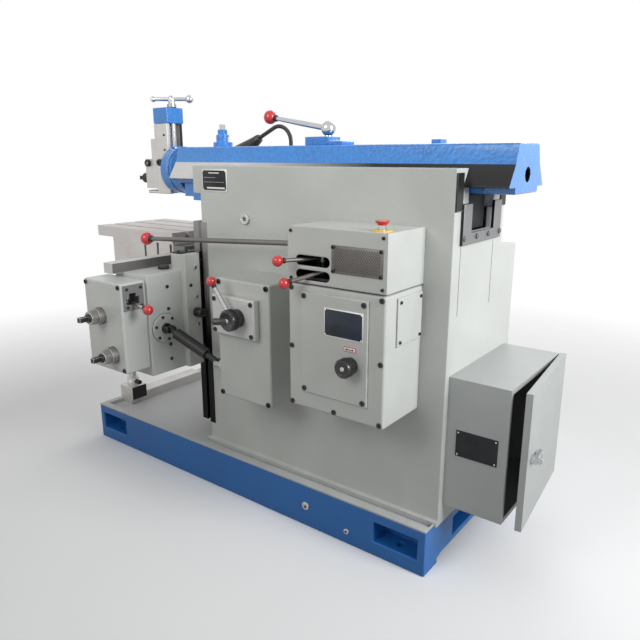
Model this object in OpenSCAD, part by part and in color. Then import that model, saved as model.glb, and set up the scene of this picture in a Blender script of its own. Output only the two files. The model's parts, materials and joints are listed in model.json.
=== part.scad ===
// Metal shaper: ram, tool head, table, cross rail, column and drive, in millimetres.
// Origin at the middle of the base's underside, +Z up, the ram cuts towards -X,
// and the operator stands on the -Y side.

/* [Base] */
// Length of the base
base_l = 1732; // [1600:2:1900]
// Width of the base
base_w = 650; // [600:2:760]
// Height of the base with its tray rim
base_h = 165; // [150:1:190]
// Depth of the drip tray below its rim
tray_depth = 15; // [10:1:22]
// Width of each corner pad across the base
pad_w = 90; // [75:1:110]
// Clear height under the base between the pads
tunnel_h = 25; // [15:1:35]
// Length of a foundation pocket
pocket_l = 164; // [120:1:200]
// Height of a foundation pocket
pocket_h = 73; // [55:1:80]
// Diameter of a foundation bolt hole
anchor_d = 24; // [18:1:30]

/* [Column] */
// Length of the column
col_l = 1042; // [960:1:1120]
// Width of the column under the ram
col_w = 368; // [350:1:400]
// Extra width of the belt side, below the shoulder
belt_side_w = 137; // [125:1:160]
// Height of the column above the tray
col_h = 1120; // [1090:1:1180]
// Height of the belt side above the tray
shoulder_h = 862; // [800:1:920]
// Wall of the column casting
col_wall = 18; // [14:1:24]
// Distance from the base's near side to the column
col_setback = 70; // [60:1:90]
// Thickness of the front way block
way_t = 60; // [50:1:70]

/* [Ram] */
// Length of the ram
ram_l = 1410; // [1300:2:1500]
// Longest stroke of the ram
ram_stroke = 500; // [400:5:520]
// Reach of the ram past the column at rest
ram_nose = 235; // [215:1:280]
// Width of the ram's top
ram_top_w = 158; // [130:1:180]
// Width of the ram's neck above the dovetail
ram_neck_w = 194; // [184:1:210]
// Width across the dovetail
dovetail_w = 274; // [262:1:284]
// Width of the keel under the dovetail
keel_w = 180; // [160:1:190]
// Diameter of the tool head's swivel flange
swivel_d = 188; // [176:1:200]

/* [Tool head] */
// Width of the tool slide
slide_w = 84; // [78:1:92]
// Height of the tool slide
slide_h = 269; // [250:1:290]
// Length of the feed handle's bar
handle_l = 152; // [130:1:180]
// Diameter of the feed screw
feed_screw_d = 24; // [18:1:28]

/* [Table] */
// Length of the table top
table_l = 526; // [470:2:580]
// Width of the table
table_w = 390; // [350:2:420]
// Height of the table top above the floor
table_z = 995; // [990:1:1000]
// Thickness of the table top
table_t = 46; // [42:1:54]
// Height of the box under the table top
table_box_h = 309; // [280:1:330]
// Mouth of a T-slot
slot_w = 18; // [14:1:20]

/* [Cross rail] */
// Length of the cross rail
rail_l = 950; // [900:2:1000]
// Height of the rail's body
rail_h = 385; // [370:1:400]
// Diameter of the graduated collars
collar_d = 64; // [54:1:74]

/* [Boxes on the column] */
// Length of the gearbox and of the control box
gear_l = 348; // [330:1:370]
// Depth of the gearbox and of the control box
gear_d = 210; // [190:1:230]
// Height of the gearbox
gear_h = 395; // [380:1:398]
// Height of the control box
control_h = 167; // [155:1:185]
// Length of the feed box
feed_l = 244; // [230:1:260]
// Depth of the feed box
feed_d = 170; // [150:1:190]
// Height of the feed box
feed_h = 429; // [410:1:450]

/* [Cabinet] */
// Depth of the electric cabinet
cab_d = 195; // [170:1:230]
// Width of the electric cabinet
cab_w = 440; // [400:1:470]
// Height of the electric cabinet
cab_h = 433; // [400:1:470]
// Thickness of the cabinet door
door_t = 20; // [16:1:26]
// Angle at which the door stands ajar
door_ajar = 5; // [0:1:30]

/* [Hidden] */
$fn = 48;
// Overrun of cuts, gap between bodies, and running clearance of a shaft in its bore
over = 2;
gap = 0.3;
run = 0.05;
// Screw heads
screw_r = 8;
screw_h = 4;
small_screw_r = 5;
// Red lever balls and lever rods
ball_r = 17;
big_ball_r = 25;
rod_r = 6;

// Places of the base and the column
base_x = base_l / 2;
base_y = base_w / 2;
deck_z = base_h - tray_depth;
tray_t = 10;
rim_t = 6;
rim_w = 16;
pocket_z = 52;
pocket_d = 84;
pocket_end = 28;
anchor_x = base_x - pocket_end - pocket_l / 2;
anchor_y = base_y - pad_w / 2;
lift_w = 180;
lift_h = 70;
lift_z = 45;
lift_d = 60;
lift_y = -30;
col_over = 6;
col_x1 = base_x + col_over;
col_x0 = col_x1 - col_l;
col_y0 = -base_y + col_setback;
col_y1 = col_y0 + col_w;
col_y2 = col_y1 + belt_side_w;
col_top = deck_z + col_h;
shoulder_z = deck_z + shoulder_h;
nose_l = 38;
nose_h = 102;
foot_out = 12;
foot_h = 20;
// Ram and its ways
ram_y = (col_y0 + col_y1) / 2;
way_drop = 53;
way_rail_h = 67;
dovetail_h = 64;
crown_h = 58;
keel_h = 19;
keel_clear = 5;
gib_w = 16;
ram_z = col_top - way_drop;
rail_under = ram_z - way_rail_h;
neck_z = ram_z + dovetail_h;
ram_top = neck_z + crown_h;
keel_z = ram_z - keel_h;
ram_x0 = col_x0 - ram_nose;
ram_x1 = ram_x0 + ram_l;
flank_slope = (dovetail_w - ram_neck_w) / 2 / dovetail_h;
rear_hole_r = 22;
rear_hole_d = 150;
rear_hole_z_offset = 35;
rear_hole_z = ram_z + rear_hole_z_offset;
slot_top_w = 20;
slot_top_d = 18;
// Front way block
way_x0 = col_x0 - way_t;
rail_wrap = 30;
way_head_t = rail_wrap - gap;
way_neck_in = 14;
way_y0_offset = 10;
way_y0 = col_y0 + way_y0_offset;
way_y1_offset = 2;
way_y1 = col_y1 - way_y1_offset;
way_z0_offset = 85;
way_z0 = deck_z + way_z0_offset;
way_top_drop = 210;
way_z1 = col_top - way_top_drop;
// Rocker drive, which keeps its place beside the gearbox
gear_x0_share = 0.581574;
gear_x0 = col_x0 + gear_x0_share * col_l;
pivot_back = 86;
pivot_x = gear_x0 - pivot_back;
pivot_z_offset = 90;
pivot_z = deck_z + pivot_z_offset;
pivot_r = 25;
rocker_drop = 93.4;
rocker_top_z = keel_z - rocker_drop;
rocker_l = norm([rocker_top_z - pivot_z, ram_stroke / 2]);
rocker_t = 50;
rocker_w = 130;
rocker_slot_w = 60;
rocker_slot_shares = [0.26, 0.66];
rocker_waist_share = 0.78;
rocker_neck_r = 20;
gear_to_pivot = 400;
swing = asin(ram_stroke / 2 / rocker_l);
crank_r = gear_to_pivot * sin(swing);
crank_pin_r = 20;
pin_short = 1;
block_l = 80;
gear_z = pivot_z + gear_to_pivot;
bull_y0_offset = 65;
bull_y0 = col_y0 + bull_y0_offset;
bull_t = 40;
bull_teeth = 80;
pinion_teeth = 20;
bull_module = 5;
hub_r = 60;
hub_boss_r = 85;
boss_l = 42;
pinion_angle = 20;
train_teeth = 50;
input_teeth = 20;
train_module = 4;
train_angle = -20;
train_t = 30;
shaft_r = 20;
input_r = 17;
shaft_boss_r = 36;
pinion_reach = bull_module * (bull_teeth + pinion_teeth) / 2;
train_reach = train_module * (train_teeth + input_teeth) / 2;
pinion_x = pivot_x + pinion_reach * cos(pinion_angle);
pinion_z = gear_z + pinion_reach * sin(pinion_angle);
input_x = pinion_x + train_reach * cos(train_angle);
input_z = pinion_z + train_reach * sin(train_angle);
train_y_offset = 65;
train_y = col_y0 - gear_d + train_y_offset;
pulley_y_offset = 100;
pulley_y = col_y2 - pulley_y_offset;
pulley_t = 46;
pulley_r = 112;
motor_pulley_r = 56;
motor_x_offset = 240;
motor_x = pivot_x + motor_x_offset;
motor_z_offset = 132;
motor_z = deck_z + motor_z_offset;
motor_r = 100;
motor_l = 200;
motor_shaft_r = 14;
belt_t = 9;

// Box from one corner to the other
module block(a, b) translate(a) cube(b - a);
// Round bars along the three axes and between two points
module x_bar(x0, x1, y, z, r) translate([x0, y, z]) rotate([0, 90, 0]) cylinder(r = r, h = x1 - x0);
module y_bar(x, y0, y1, z, r) translate([x, y1, z]) rotate([90, 0, 0]) cylinder(r = r, h = y1 - y0);
module z_bar(x, y, z0, z1, r) translate([x, y, z0]) cylinder(r = r, h = z1 - z0);
module bar(p, q, r, knob = 0) {
    d = q - p;
    translate(p) rotate([0, acos(d.z / norm(d)), atan2(d.y, d.x)]) {
        cylinder(r = r, h = norm(d));
        if (knob > 0) translate([0, 0, norm(d)]) sphere(r = knob);
    }
}
module ball(p, r) translate(p) sphere(r = r);
// Outline in Y and Z drawn out along X, and outline in X and Z drawn out along Y
module along_x(x0, x1) translate([x0, 0, 0]) rotate([90, 0, 90]) linear_extrude(x1 - x0) children();
module along_y(y0, y1) translate([0, y1, 0]) rotate([90, 0, 0]) linear_extrude(y1 - y0) children();
// Cap screw heads that stand on a face towards -Y, +X or +Z
module screws_y(places, y, r = screw_r)
    for (p = places) difference() {
        y_bar(p.x, y - screw_h, y, p.y, r);
        translate([p.x, y - screw_h / 2, p.y]) rotate([90, 0, 0]) cylinder(r = r / 2, h = screw_h,
            $fn = 6);
    }
module screws_x(places, x, r = screw_r)
    for (p = places) difference() {
        x_bar(x, x + screw_h, p.x, p.y, r);
        translate([x + screw_h / 2, p.x, p.y]) rotate([0, 90, 0]) cylinder(r = r / 2, h = screw_h,
            $fn = 6);
    }
// Four corner places of a panel, set in from its edges
function corners(u0, u1, v0, v1, inset) =
    [for (u = [u0 + inset, u1 - inset], v = [v0 + inset, v1 - inset]) [u, v]];
// Spur gear outline with straight-sided teeth and some backlash
tooth_shares = [0.36, 0.22, 0.22, 0.36];
module gear_outline(teeth, m) {
    root = m * teeth / 2 - 1.25 * m;
    tip = m * teeth / 2 + 0.9 * m;
    pitch = 360 / teeth;
    polygon([for (i = [0:teeth - 1], k = [0:3])
        let (r = k == 0 || k == 3 ? root : tip, s = k < 2 ? -1 : 1,
            a = pitch * (i + s * tooth_shares[k] / 2 * 1.3))
        r * [cos(a), sin(a)]]);
}
module spur_gear(x, z, y0, y1, teeth, m, turn) translate([x, y1, z]) rotate([90, 0, 0]) rotate(turn)
    linear_extrude(y1 - y0) gear_outline(teeth, m);

// Base casting with corner pads, foundation pockets and a lifting opening
module column_seat() block([col_x0 - foot_out, col_y0 - foot_out, deck_z],
    [base_x + over, col_y2 + foot_out, base_h + over]);
module base() color("royalblue") difference() {
    block([-base_x, -base_y, 0], [base_x, base_y, base_h - rim_t]);
    column_seat();
    block([rim_w - base_x, rim_w - base_y, deck_z - tray_t], [base_x - rim_w, base_y - rim_w, base_h]);
    block([-base_x - over, pad_w - base_y, -over], [base_x + over, base_y - pad_w, tunnel_h]);
    for (sx = [-1, 1], sy = [-1, 1]) {
        translate([sx * anchor_x, sy * (base_y - pocket_d / 2 + over / 2), pocket_z + pocket_h / 2])
            cube([pocket_l, pocket_d + over, pocket_h], center = true);
        z_bar(sx * anchor_x, sy * anchor_y, -over, pocket_z + over, anchor_d / 2);
    }
    block([base_x - lift_d, lift_y - lift_w / 2, lift_z],
        [base_x + over, lift_y + lift_w / 2, lift_z + lift_h]);
}
// Drip tray with a turned-up rim that laps over the casting
module base_tray() color("darkgray") {
    difference() {
        union() {
            block([-base_x, -base_y, base_h - rim_t], [base_x, base_y, base_h]);
            block([rim_w - base_x, rim_w - base_y, deck_z - tray_t],
                [base_x - rim_w, base_y - rim_w, base_h]);
        }
        block([2 * rim_w - base_x, 2 * rim_w - base_y, deck_z],
            [base_x - rim_t, base_y - 2 * rim_w, base_h + over]);
        column_seat();
    }
}
drain_x = 388;
drain_z = 83;
drain_r = 15;
vent_x = 567;
vent_z = 50;
vent_r = 10;
sight_x_offset = 233;
sight_x = col_x0 + sight_x_offset;
sight_z_offset = 185;
sight_z = col_top - sight_z_offset;
sight_r = 16;
// Drain plug, vent plug and oil sight
module plugs() color("silver") {
    y_bar(drain_x, -base_y - screw_h, -base_y, drain_z, drain_r);
    y_bar(vent_x, -base_y - screw_h, -base_y, vent_z, vent_r);
    difference() {
        y_bar(sight_x, col_y0 - 2 * screw_h, col_y0, sight_z, sight_r);
        y_bar(sight_x, col_y0 - 3 * screw_h, col_y0 - screw_h, sight_z, sight_r / 2);
    }
}

// Half width of the dovetail way at a height, with the running gap
function way_half(z) = dovetail_w / 2 + gap - (z - ram_z) * flank_slope;
module column_outline() polygon([[col_y0, deck_z], [col_y2, deck_z], [col_y2, shoulder_z],
    [col_y1, shoulder_z], [col_y1, col_top], [col_y0, col_top]]);
module cavity_outline() polygon([[col_y0 + col_wall, deck_z - over], [col_y2 - col_wall, deck_z - over],
    [col_y2 - col_wall, shoulder_z - col_wall], [col_y1 - col_wall, shoulder_z - col_wall],
    [col_y1 - col_wall, rail_under], [col_y0 + col_wall, rail_under]]);
module channel_outline() {
    k = keel_w / 2 + keel_clear;
    top = col_top + over;
    translate([ram_y, 0]) polygon([[-k, rail_under - over], [-k, ram_z - gap],
        [-way_half(ram_z - gap), ram_z - gap],
        [-way_half(top), top], [way_half(top) + gib_w, top], [way_half(ram_z - gap) + gib_w, ram_z - gap],
        [k, ram_z - gap], [k, rail_under - over]]);
}
rear_open_z_offset = 65;
rear_open_z = rail_under - rear_open_z_offset;
rear_open_w = 167;
// Column casting: a hollow box with the ram's dovetail ways on top
module column() color("gainsboro") difference() {
    union() {
        difference() {
            union() {
                along_x(col_x0, col_x1) column_outline();
                block([col_x0 - nose_l, col_y0, col_top - nose_h], [col_x0 + over, col_y1, col_top]);
                block([col_x0 - foot_out, col_y0 - foot_out, deck_z],
                    [col_x1, col_y2 + foot_out, deck_z + foot_h]);
            }
            along_x(col_x0 + col_wall, col_x1 - col_wall) cavity_outline();
            along_x(col_x0 - nose_l - over, col_x1 + over) channel_outline();
            block([col_x1 - col_wall - over, ram_y - rear_open_w / 2, rear_open_z],
                [col_x1 + over, ram_y + rear_open_w / 2, rail_under + over]);
        }
        y_bar(pivot_x, col_y0 + over, col_y0 + col_wall + boss_l, gear_z, hub_boss_r);
        y_bar(pinion_x, col_y0 + over, col_y0 + col_wall + boss_l - over, pinion_z, shaft_boss_r);
        y_bar(input_x, col_y0 + over, col_y0 + col_wall + boss_l, input_z, shaft_boss_r);
        y_bar(input_x, col_y2 - col_wall - boss_l / 2, col_y2 - over, input_z, shaft_boss_r);
    }
    y_bar(pivot_x, col_y0 + over, ram_y, gear_z, hub_r + run);
    y_bar(pinion_x, col_y0 - over, ram_y, pinion_z, shaft_r + run);
    y_bar(input_x, col_y0 - over, col_y2 - col_wall, input_z, input_r + run);
}
way_strip = 26;
// Front way block, a T in plan, that guides the cross rail, with a strip round the near corner
module column_ways() color("dimgray") {
    block([way_x0, way_y0, way_z0], [way_x0 + way_head_t, way_y1, way_z1]);
    block([way_x0 + way_head_t, way_y0 + way_neck_in, way_z0], [col_x0, way_y1 - way_neck_in, way_z1]);
    block([col_x0 - over, col_y0 - over, way_z0], [col_x0, way_y0 + way_neck_in + over, way_z1]);
    block([col_x0 - over, col_y0 - over, way_z0], [col_x0 + way_strip, col_y0, way_z1]);
}
// Gib strip along the far flank of the ram
module ram_gib() color("dimgray") along_x(col_x0, col_x1) translate([ram_y, 0])
    polygon([[way_half(ram_z), ram_z], [way_half(ram_z) + gib_w - run, ram_z],
        [way_half(col_top) + gib_w - run, col_top], [way_half(col_top), col_top]]);
frame_t = 10;
frame_w = 282;
frame_z0_offset = 34;
frame_z0 = rear_open_z - frame_z0_offset;
frame_z1_offset = 20;
frame_z1 = rail_under + frame_z1_offset;
wiper_z1_offset = 12;
wiper_z1 = col_top - wiper_z1_offset;
// Bolted frame and wiper plates round the ram's exit at the rear
module rear_way_frame() color("black") {
    difference() {
        block([col_x1, ram_y - frame_w / 2, frame_z0], [col_x1 + frame_t, ram_y + frame_w / 2, frame_z1]);
        block([col_x1 - over, ram_y - rear_open_w / 2, rear_open_z],
            [col_x1 + frame_t + over, ram_y + rear_open_w / 2, frame_z1 + over]);
    }
    for (s = [0, 1]) translate([0, ram_y, 0]) mirror([0, s, 0]) translate([0, -ram_y, 0])
        block([col_x1, col_y0, rail_under], [col_x1 + frame_t / 2, ram_y - frame_w / 2, wiper_z1]);
    screws_x(concat([for (u = [-1, -1 / 3, 1 / 3, 1]) [ram_y + u * (frame_w / 2 - frame_t),
        frame_z0 + 2 * frame_t]]), col_x1 + frame_t);
}

// Places of the gearbox, control box and feed box on the column's near side
box_y = col_y0 - gear_d;
box_wall = 16;
gear_x1 = gear_x0 + gear_l;
gear_z0_offset = 388;
gear_z0 = deck_z + gear_z0_offset;
gear_z1 = gear_z0 + gear_h;
control_z0_offset = 4;
control_z0 = gear_z1 + control_z0_offset;
control_z1 = control_z0 + control_h;
cover_t = 8;
cover_in_x = 54;
cover_z0_offset = 58;
cover_z0 = gear_z0 + cover_z0_offset;
cover_z1_offset = 19;
cover_z1 = gear_z1 - cover_z1_offset;
cover_lap = 16;
cover_y = box_y - cover_t;
side_y0_offset = 153;
side_y0 = col_y0 - side_y0_offset;
side_y1_offset = 12;
side_y1 = col_y0 - side_y1_offset;
side_z0_offset = 158;
side_z0 = gear_z1 - side_z0_offset;
side_z1_offset = 15;
side_z1 = gear_z1 - side_z1_offset;
side_t = 6;
knob_r = 29;
knob_l = 46;
knob_stem_r = 10;
knob_x_offset = 239;
knob_x = gear_x0 + knob_x_offset;
knob_z_offset = 179;
knob_z = gear_z0 + knob_z_offset;
// Gearbox case, open towards the column
module gearbox_case() color("gainsboro") difference() {
    block([gear_x0, box_y, gear_z0], [gear_x1, col_y0, gear_z1]);
    block([gear_x0 + box_wall, box_y + box_wall, gear_z0 + box_wall],
        [gear_x1 - box_wall, col_y0 + over, gear_z1 - box_wall]);
    block([gear_x0 + cover_in_x + cover_lap, box_y - over, cover_z0 + cover_lap],
        [gear_x1 - cover_in_x - cover_lap, box_y + box_wall + over, cover_z1 - cover_lap]);
    block([gear_x1 - box_wall - over, side_y0 + cover_lap, side_z0 + cover_lap],
        [gear_x1 + over, side_y1 - cover_lap, side_z1 - cover_lap]);
}
// Front cover with the knob's bush, and the plate on the rear side
module gearbox_covers() color("gainsboro") {
    difference() {
        block([gear_x0 + cover_in_x, cover_y, cover_z0], [gear_x1 - cover_in_x, box_y, cover_z1]);
        y_bar(knob_x, cover_y - over, box_y + over, knob_z, knob_stem_r + run);
    }
    block([gear_x1, side_y0, side_z0], [gear_x1 + side_t, side_y1, side_z1]);
}
// Shift slots in the control box's face, as shares of its length and height
shift_slot_h = 31;
shift_slot_shares = [0.09, 0.45];
shift_upper_z_offset = 69;
shift_upper_z = control_z0 + shift_upper_z_offset;
shift_lower_z_offset = 26;
shift_lower_z = control_z0 + shift_lower_z_offset;
clutch_y_offset = 100;
clutch_y = col_y0 - clutch_y_offset;
clutch_x_offset = 34;
clutch_x = gear_x0 + clutch_x_offset;
clutch_z_offset = 102;
clutch_z = control_z0 + clutch_z_offset;
clutch_slot_in = 12;
clutch_slot_out = 34;
clutch_slot_h = 30;
stop_x_offset = 300;
stop_x = gear_x0 + stop_x_offset;
stop_y_offset = 47;
stop_y = box_y + stop_y_offset;
stop_r = 20;
stop_stem_r = 11;
stop_stem_h = 16;
stop_head_h = 14;
stop_ring_r = 30;
stop_ring_t = 3;
pin_r = 5;
hub_ring_r = 11;
hub_ring_h = 24;
shift_pivot_in = 65;
pivot_y = box_y + shift_pivot_in;
upper_pivot_x_offset = 84;
upper_pivot_x = gear_x0 + upper_pivot_x_offset;
lower_pivot_x_offset = 139;
lower_pivot_x = gear_x0 + lower_pivot_x_offset;
module lever_hub(p, r) z_bar(p.x, p.y, p.z - hub_ring_h / 2, p.z + hub_ring_h / 2, r);
module lever_pin(x, y, r) z_bar(x, y, control_z0 + box_wall - over, control_z1 - box_wall + over, r);
module shift_slot(z) {
    x0 = gear_x0 + shift_slot_shares[0] * gear_l;
    x1 = gear_x0 + shift_slot_shares[1] * gear_l;
    r = shift_slot_h / 2;
    block([x0 + r, box_y - over, z - r], [x1 - r, box_y + box_wall + over, z + r]);
    for (x = [x0 + r, x1 - r]) y_bar(x, box_y - over, box_y + box_wall + over, z, r);
}
// Control box, open towards the column, with the shift slots and the clutch lever's window
module control_box() color("gainsboro") {
    difference() {
        block([gear_x0, box_y, control_z0], [gear_x1, col_y0, control_z1]);
        block([gear_x0 + box_wall, box_y + box_wall, control_z0 + box_wall],
            [gear_x1 - box_wall, col_y0 + over, control_z1 - box_wall]);
        shift_slot(shift_upper_z);
        shift_slot(shift_lower_z);
        block([gear_x0 - over, clutch_y - clutch_slot_out, clutch_z - clutch_slot_h / 2],
            [gear_x0 + box_wall + over, clutch_y + clutch_slot_in, clutch_z + clutch_slot_h / 2]);
        z_bar(stop_x, stop_y, control_z1 - box_wall - over, control_z1 + over, stop_stem_r + run);
    }
    lever_pin(upper_pivot_x, pivot_y, pin_r);
    lever_pin(lower_pivot_x, pivot_y, pin_r);
    lever_pin(clutch_x, clutch_y, pin_r);
}
feed_x0_share = 0.236084;
feed_x0 = col_x0 + feed_x0_share * col_l;
feed_x1 = feed_x0 + feed_l;
feed_z0_offset = 321;
feed_z0 = deck_z + feed_z0_offset;
feed_z1 = feed_z0 + feed_h;
feed_y = col_y0 - feed_d;
plate_t = 28;
plate_x0_offset = 4;
plate_x0 = feed_x0 + plate_x0_offset;
plate_w = 196;
plate_z0_offset = 189;
plate_z0 = feed_z1 - plate_z0_offset;
plate_h = 135;
feed_hub_x_offset = 127;
feed_hub_x = feed_x0 + feed_hub_x_offset;
feed_hub_z_offset = 120;
feed_hub_z = feed_z1 - feed_hub_z_offset;
feed_hub_r = 37;
feed_hub_l = 54;
feed_stem_r = 12;
// Telescopic feed shaft between the rail and the feed box
joint_y_offset = 185;
joint_y = col_y0 - joint_y_offset;
joint_z_offset = 526;
joint_z = deck_z + joint_z_offset;
outlet_y_offset = 38;
outlet_y = feed_y + outlet_y_offset;
outlet_z_offset = 99;
outlet_z = feed_z0 + outlet_z_offset;
outlet_r = 30;
outlet_l = 14;
// Feed box, open towards the column, with the feed shaft's outlet
module feed_box() color("gainsboro") difference() {
    union() {
        block([feed_x0, feed_y, feed_z0], [feed_x1, col_y0, feed_z1]);
        x_bar(feed_x0 - outlet_l, feed_x0 + over, outlet_y, outlet_z, outlet_r);
        x_bar(shaft_to.x - knuckle_r / 2, feed_x0, outlet_y, outlet_z, fork_r);
    }
    block([feed_x0 + box_wall, feed_y + box_wall, feed_z0 + box_wall],
        [feed_x1 - box_wall, col_y0 + over, feed_z1 - box_wall]);
    y_bar(feed_hub_x, feed_y - over, feed_y + box_wall + over, feed_hub_z, feed_stem_r + run);
    block([shaft_to.x - 2 * fork_r, outlet_y - knuckle_r - gap, outlet_z - 2 * fork_r],
        [shaft_to.x + knuckle_r + over, outlet_y + knuckle_r + gap, outlet_z + 2 * fork_r]);
}
// Raised plate under the feed lever
module feed_plate() color("whitesmoke") difference() {
    block([plate_x0, feed_y - plate_t, plate_z0], [plate_x0 + plate_w, feed_y, plate_z0 + plate_h]);
    y_bar(feed_hub_x, feed_y - plate_t - over, feed_y + over, feed_hub_z, feed_stem_r + run);
}
screw_in = 13;
// Cap screws of the boxes and covers
module case_screws() color("black") {
    screws_y(corners(gear_x0, gear_x1, control_z0, control_z1, screw_in), box_y, small_screw_r);
    screws_y(concat(corners(gear_x0, gear_x1, gear_z0, gear_z1, screw_in),
        [[gear_x0 + screw_in, (gear_z0 + gear_z1) / 2], [gear_x1 - screw_in, (gear_z0 + gear_z1) / 2],
         [(gear_x0 + gear_x1) / 2, gear_z0 + screw_in]]), box_y);
    screws_y(corners(gear_x0 + cover_in_x, gear_x1 - cover_in_x, cover_z0, cover_z1, screw_in), cover_y);
    screws_x(corners(side_y0, side_y1, side_z0, side_z1, screw_in), gear_x1 + side_t, small_screw_r);
    screws_y(corners(feed_x0, feed_x1, feed_z0, feed_z1, screw_in), feed_y, 1.2 * screw_r);
    screws_y(corners(plate_x0, plate_x0 + plate_w, plate_z0, plate_z0 + plate_h, screw_in),
        feed_y - plate_t);
}
sheet_t = 2;
name_x_offset = 15;
name_x = col_x0 + name_x_offset;
name_z_offset = 93;
name_z = col_top - name_z_offset;
name_w = 130;
name_h = 80;
guard_x_offset = 185;
guard_x = gear_x1 - guard_x_offset;
guard_z_offset = 42;
guard_z = control_z0 + guard_z_offset;
guard_w = 172;
guard_h = 81;
chart_x_offset = 143;
chart_x = gear_x0 + chart_x_offset;
chart_z_offset = 253;
chart_z = gear_z0 + chart_z_offset;
chart_w = 138;
chart_h = 86;
arrow_x_offset = 24;
arrow_x = knob_x - arrow_x_offset;
arrow_z_offset = 40;
arrow_z = knob_z + arrow_z_offset;
arrow_w = 42;
arrow_h = 14;
label_in = 34;
label_w = 134;
label_h = 86;
label_z_offset = 250;
label_z = cab_h - label_z_offset;
// Thin plates: name plate, vent plate, chart, arrow plate, stop ring and cabinet label
module info_plates() color("dimgray") {
    block([name_x, col_y0 - sheet_t, name_z], [name_x + name_w, col_y0, name_z + name_h]);
    block([guard_x, box_y - sheet_t, guard_z], [guard_x + guard_w, box_y, guard_z + guard_h]);
    block([chart_x, cover_y - sheet_t, chart_z], [chart_x + chart_w, cover_y, chart_z + chart_h]);
    block([arrow_x, cover_y - sheet_t, arrow_z], [arrow_x + arrow_w, cover_y, arrow_z + arrow_h]);
    difference() {
        z_bar(stop_x, stop_y, control_z1, control_z1 + stop_ring_t, stop_ring_r);
        z_bar(stop_x, stop_y, control_z1 - over, control_z1 + stop_ring_t + over, stop_stem_r + gap);
    }
    block([col_x1 + label_in, cab_y0 - sheet_t, cab_z0 + label_z],
        [col_x1 + label_in + label_w, cab_y0, cab_z0 + label_z + label_h]);
}

// Electric cabinet behind the column
cab_wall = 3;
cab_y0_offset = 25;
cab_y0 = col_y0 + cab_y0_offset;
cab_y1 = cab_y0 + cab_w;
cab_z0_offset = 57;
cab_z0 = base_h + cab_z0_offset;
cab_z1 = cab_z0 + cab_h;
cab_x1 = col_x1 + cab_d;
cab_lip = 16;
hinge_x_offset = 2;
hinge_x = cab_x1 + hinge_x_offset;
hinge_y_offset = 11;
hinge_y = cab_y1 + hinge_y_offset;
hinge_r = 7;
hinge_pin_r = 4;
hinge_l = 26;
hinge_shares = [0.16, 0.8];
leaf_l = 24;
leaf_t = 3;
// Sheet steel box with a turned-in lip and two hinge leaves with pins
module cabinet() color("silver") {
    difference() {
        block([col_x1, cab_y0, cab_z0], [cab_x1, cab_y1, cab_z1]);
        block([col_x1 + cab_wall, cab_y0 + cab_wall, cab_z0 + cab_wall],
            [cab_x1 - cab_wall, cab_y1 - cab_wall, cab_z1 - cab_wall]);
        block([cab_x1 - cab_wall - over, cab_y0 + cab_lip, cab_z0 + cab_lip],
            [cab_x1 + over, cab_y1 - cab_lip, cab_z1 - cab_lip]);
    }
    for (s = hinge_shares) {
        z = cab_z0 + s * cab_h;
        block([cab_x1 - leaf_l, cab_y1 - sheet_t, z - hinge_l], [hinge_x - gap, cab_y1 + leaf_t, z]);
        block([hinge_x - hinge_r / 2, cab_y1, z - hinge_l], [hinge_x - gap, hinge_y, z]);
        z_bar(hinge_x, hinge_y, z - hinge_l, z, hinge_r);
        z_bar(hinge_x, hinge_y, z - over, z + hinge_l, hinge_pin_r);
    }
}
panel_in = 30;
panel_t = 3;
part_shares = [[0.08, 0.62, 0.16, 0.24], [0.3, 0.62, 0.16, 0.24], [0.52, 0.62, 0.2, 0.24],
    [0.1, 0.36, 0.3, 0.12], [0.5, 0.34, 0.34, 0.16], [0.08, 0.1, 0.82, 0.12]];
part_d = 70;
// Mounting panel with contactors, a transformer and terminals
module cabinet_panel() color("goldenrod") {
    x = col_x1 + cab_wall;
    w = cab_w - 2 * panel_in;
    h = cab_h - 2 * panel_in;
    block([x, cab_y0 + panel_in, cab_z0 + panel_in], [x + panel_t, cab_y1 - panel_in, cab_z1 - panel_in]);
    for (p = part_shares)
        block([x + panel_t, cab_y0 + panel_in + p[0] * w, cab_z0 + panel_in + p[1] * h],
            [x + panel_t + part_d, cab_y0 + panel_in + (p[0] + p[2]) * w,
                cab_z0 + panel_in + (p[1] + p[3]) * h]);
}
door_lap = 2;
door_skin = 2;
lock_in = 45;
lock_z = cab_h / 2;
lock_r = 9;
module ajar() translate([hinge_x, hinge_y, 0]) rotate(door_ajar) translate([-hinge_x, -hinge_y,
    0]) children();
// Folded door with its hinge knuckles, standing a little open
module cabinet_door() color("silver") ajar() difference() {
    union() {
        difference() {
            block([hinge_x, cab_y0 - door_lap, cab_z0 - door_lap],
                [hinge_x + door_t, cab_y1 + door_lap, cab_z1 + door_lap]);
            block([hinge_x - over, cab_y0 - door_lap + door_skin, cab_z0 - door_lap + door_skin],
                [hinge_x + door_t - door_skin, cab_y1 + door_lap - door_skin,
                    cab_z1 + door_lap - door_skin]);
        }
        for (s = hinge_shares) {
            z = cab_z0 + s * cab_h;
            z_bar(hinge_x, hinge_y, z + gap, z + hinge_l, hinge_r);
            block([hinge_x, cab_y1 + door_lap - door_skin, z + gap],
                [hinge_x + hinge_r, hinge_y, z + hinge_l]);
        }
    }
    for (s = hinge_shares) {
        z = cab_z0 + s * cab_h;
        z_bar(hinge_x, hinge_y, z - over, z + hinge_l + over, hinge_pin_r + run);
    }
    x_bar(hinge_x - over, hinge_x + door_t + over, cab_y0 + lock_in, cab_z0 + lock_z, lock_r + run);
}
latch_l = 62;
latch_w = 18;
latch_t = 9;
cam_l = 40;
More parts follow.
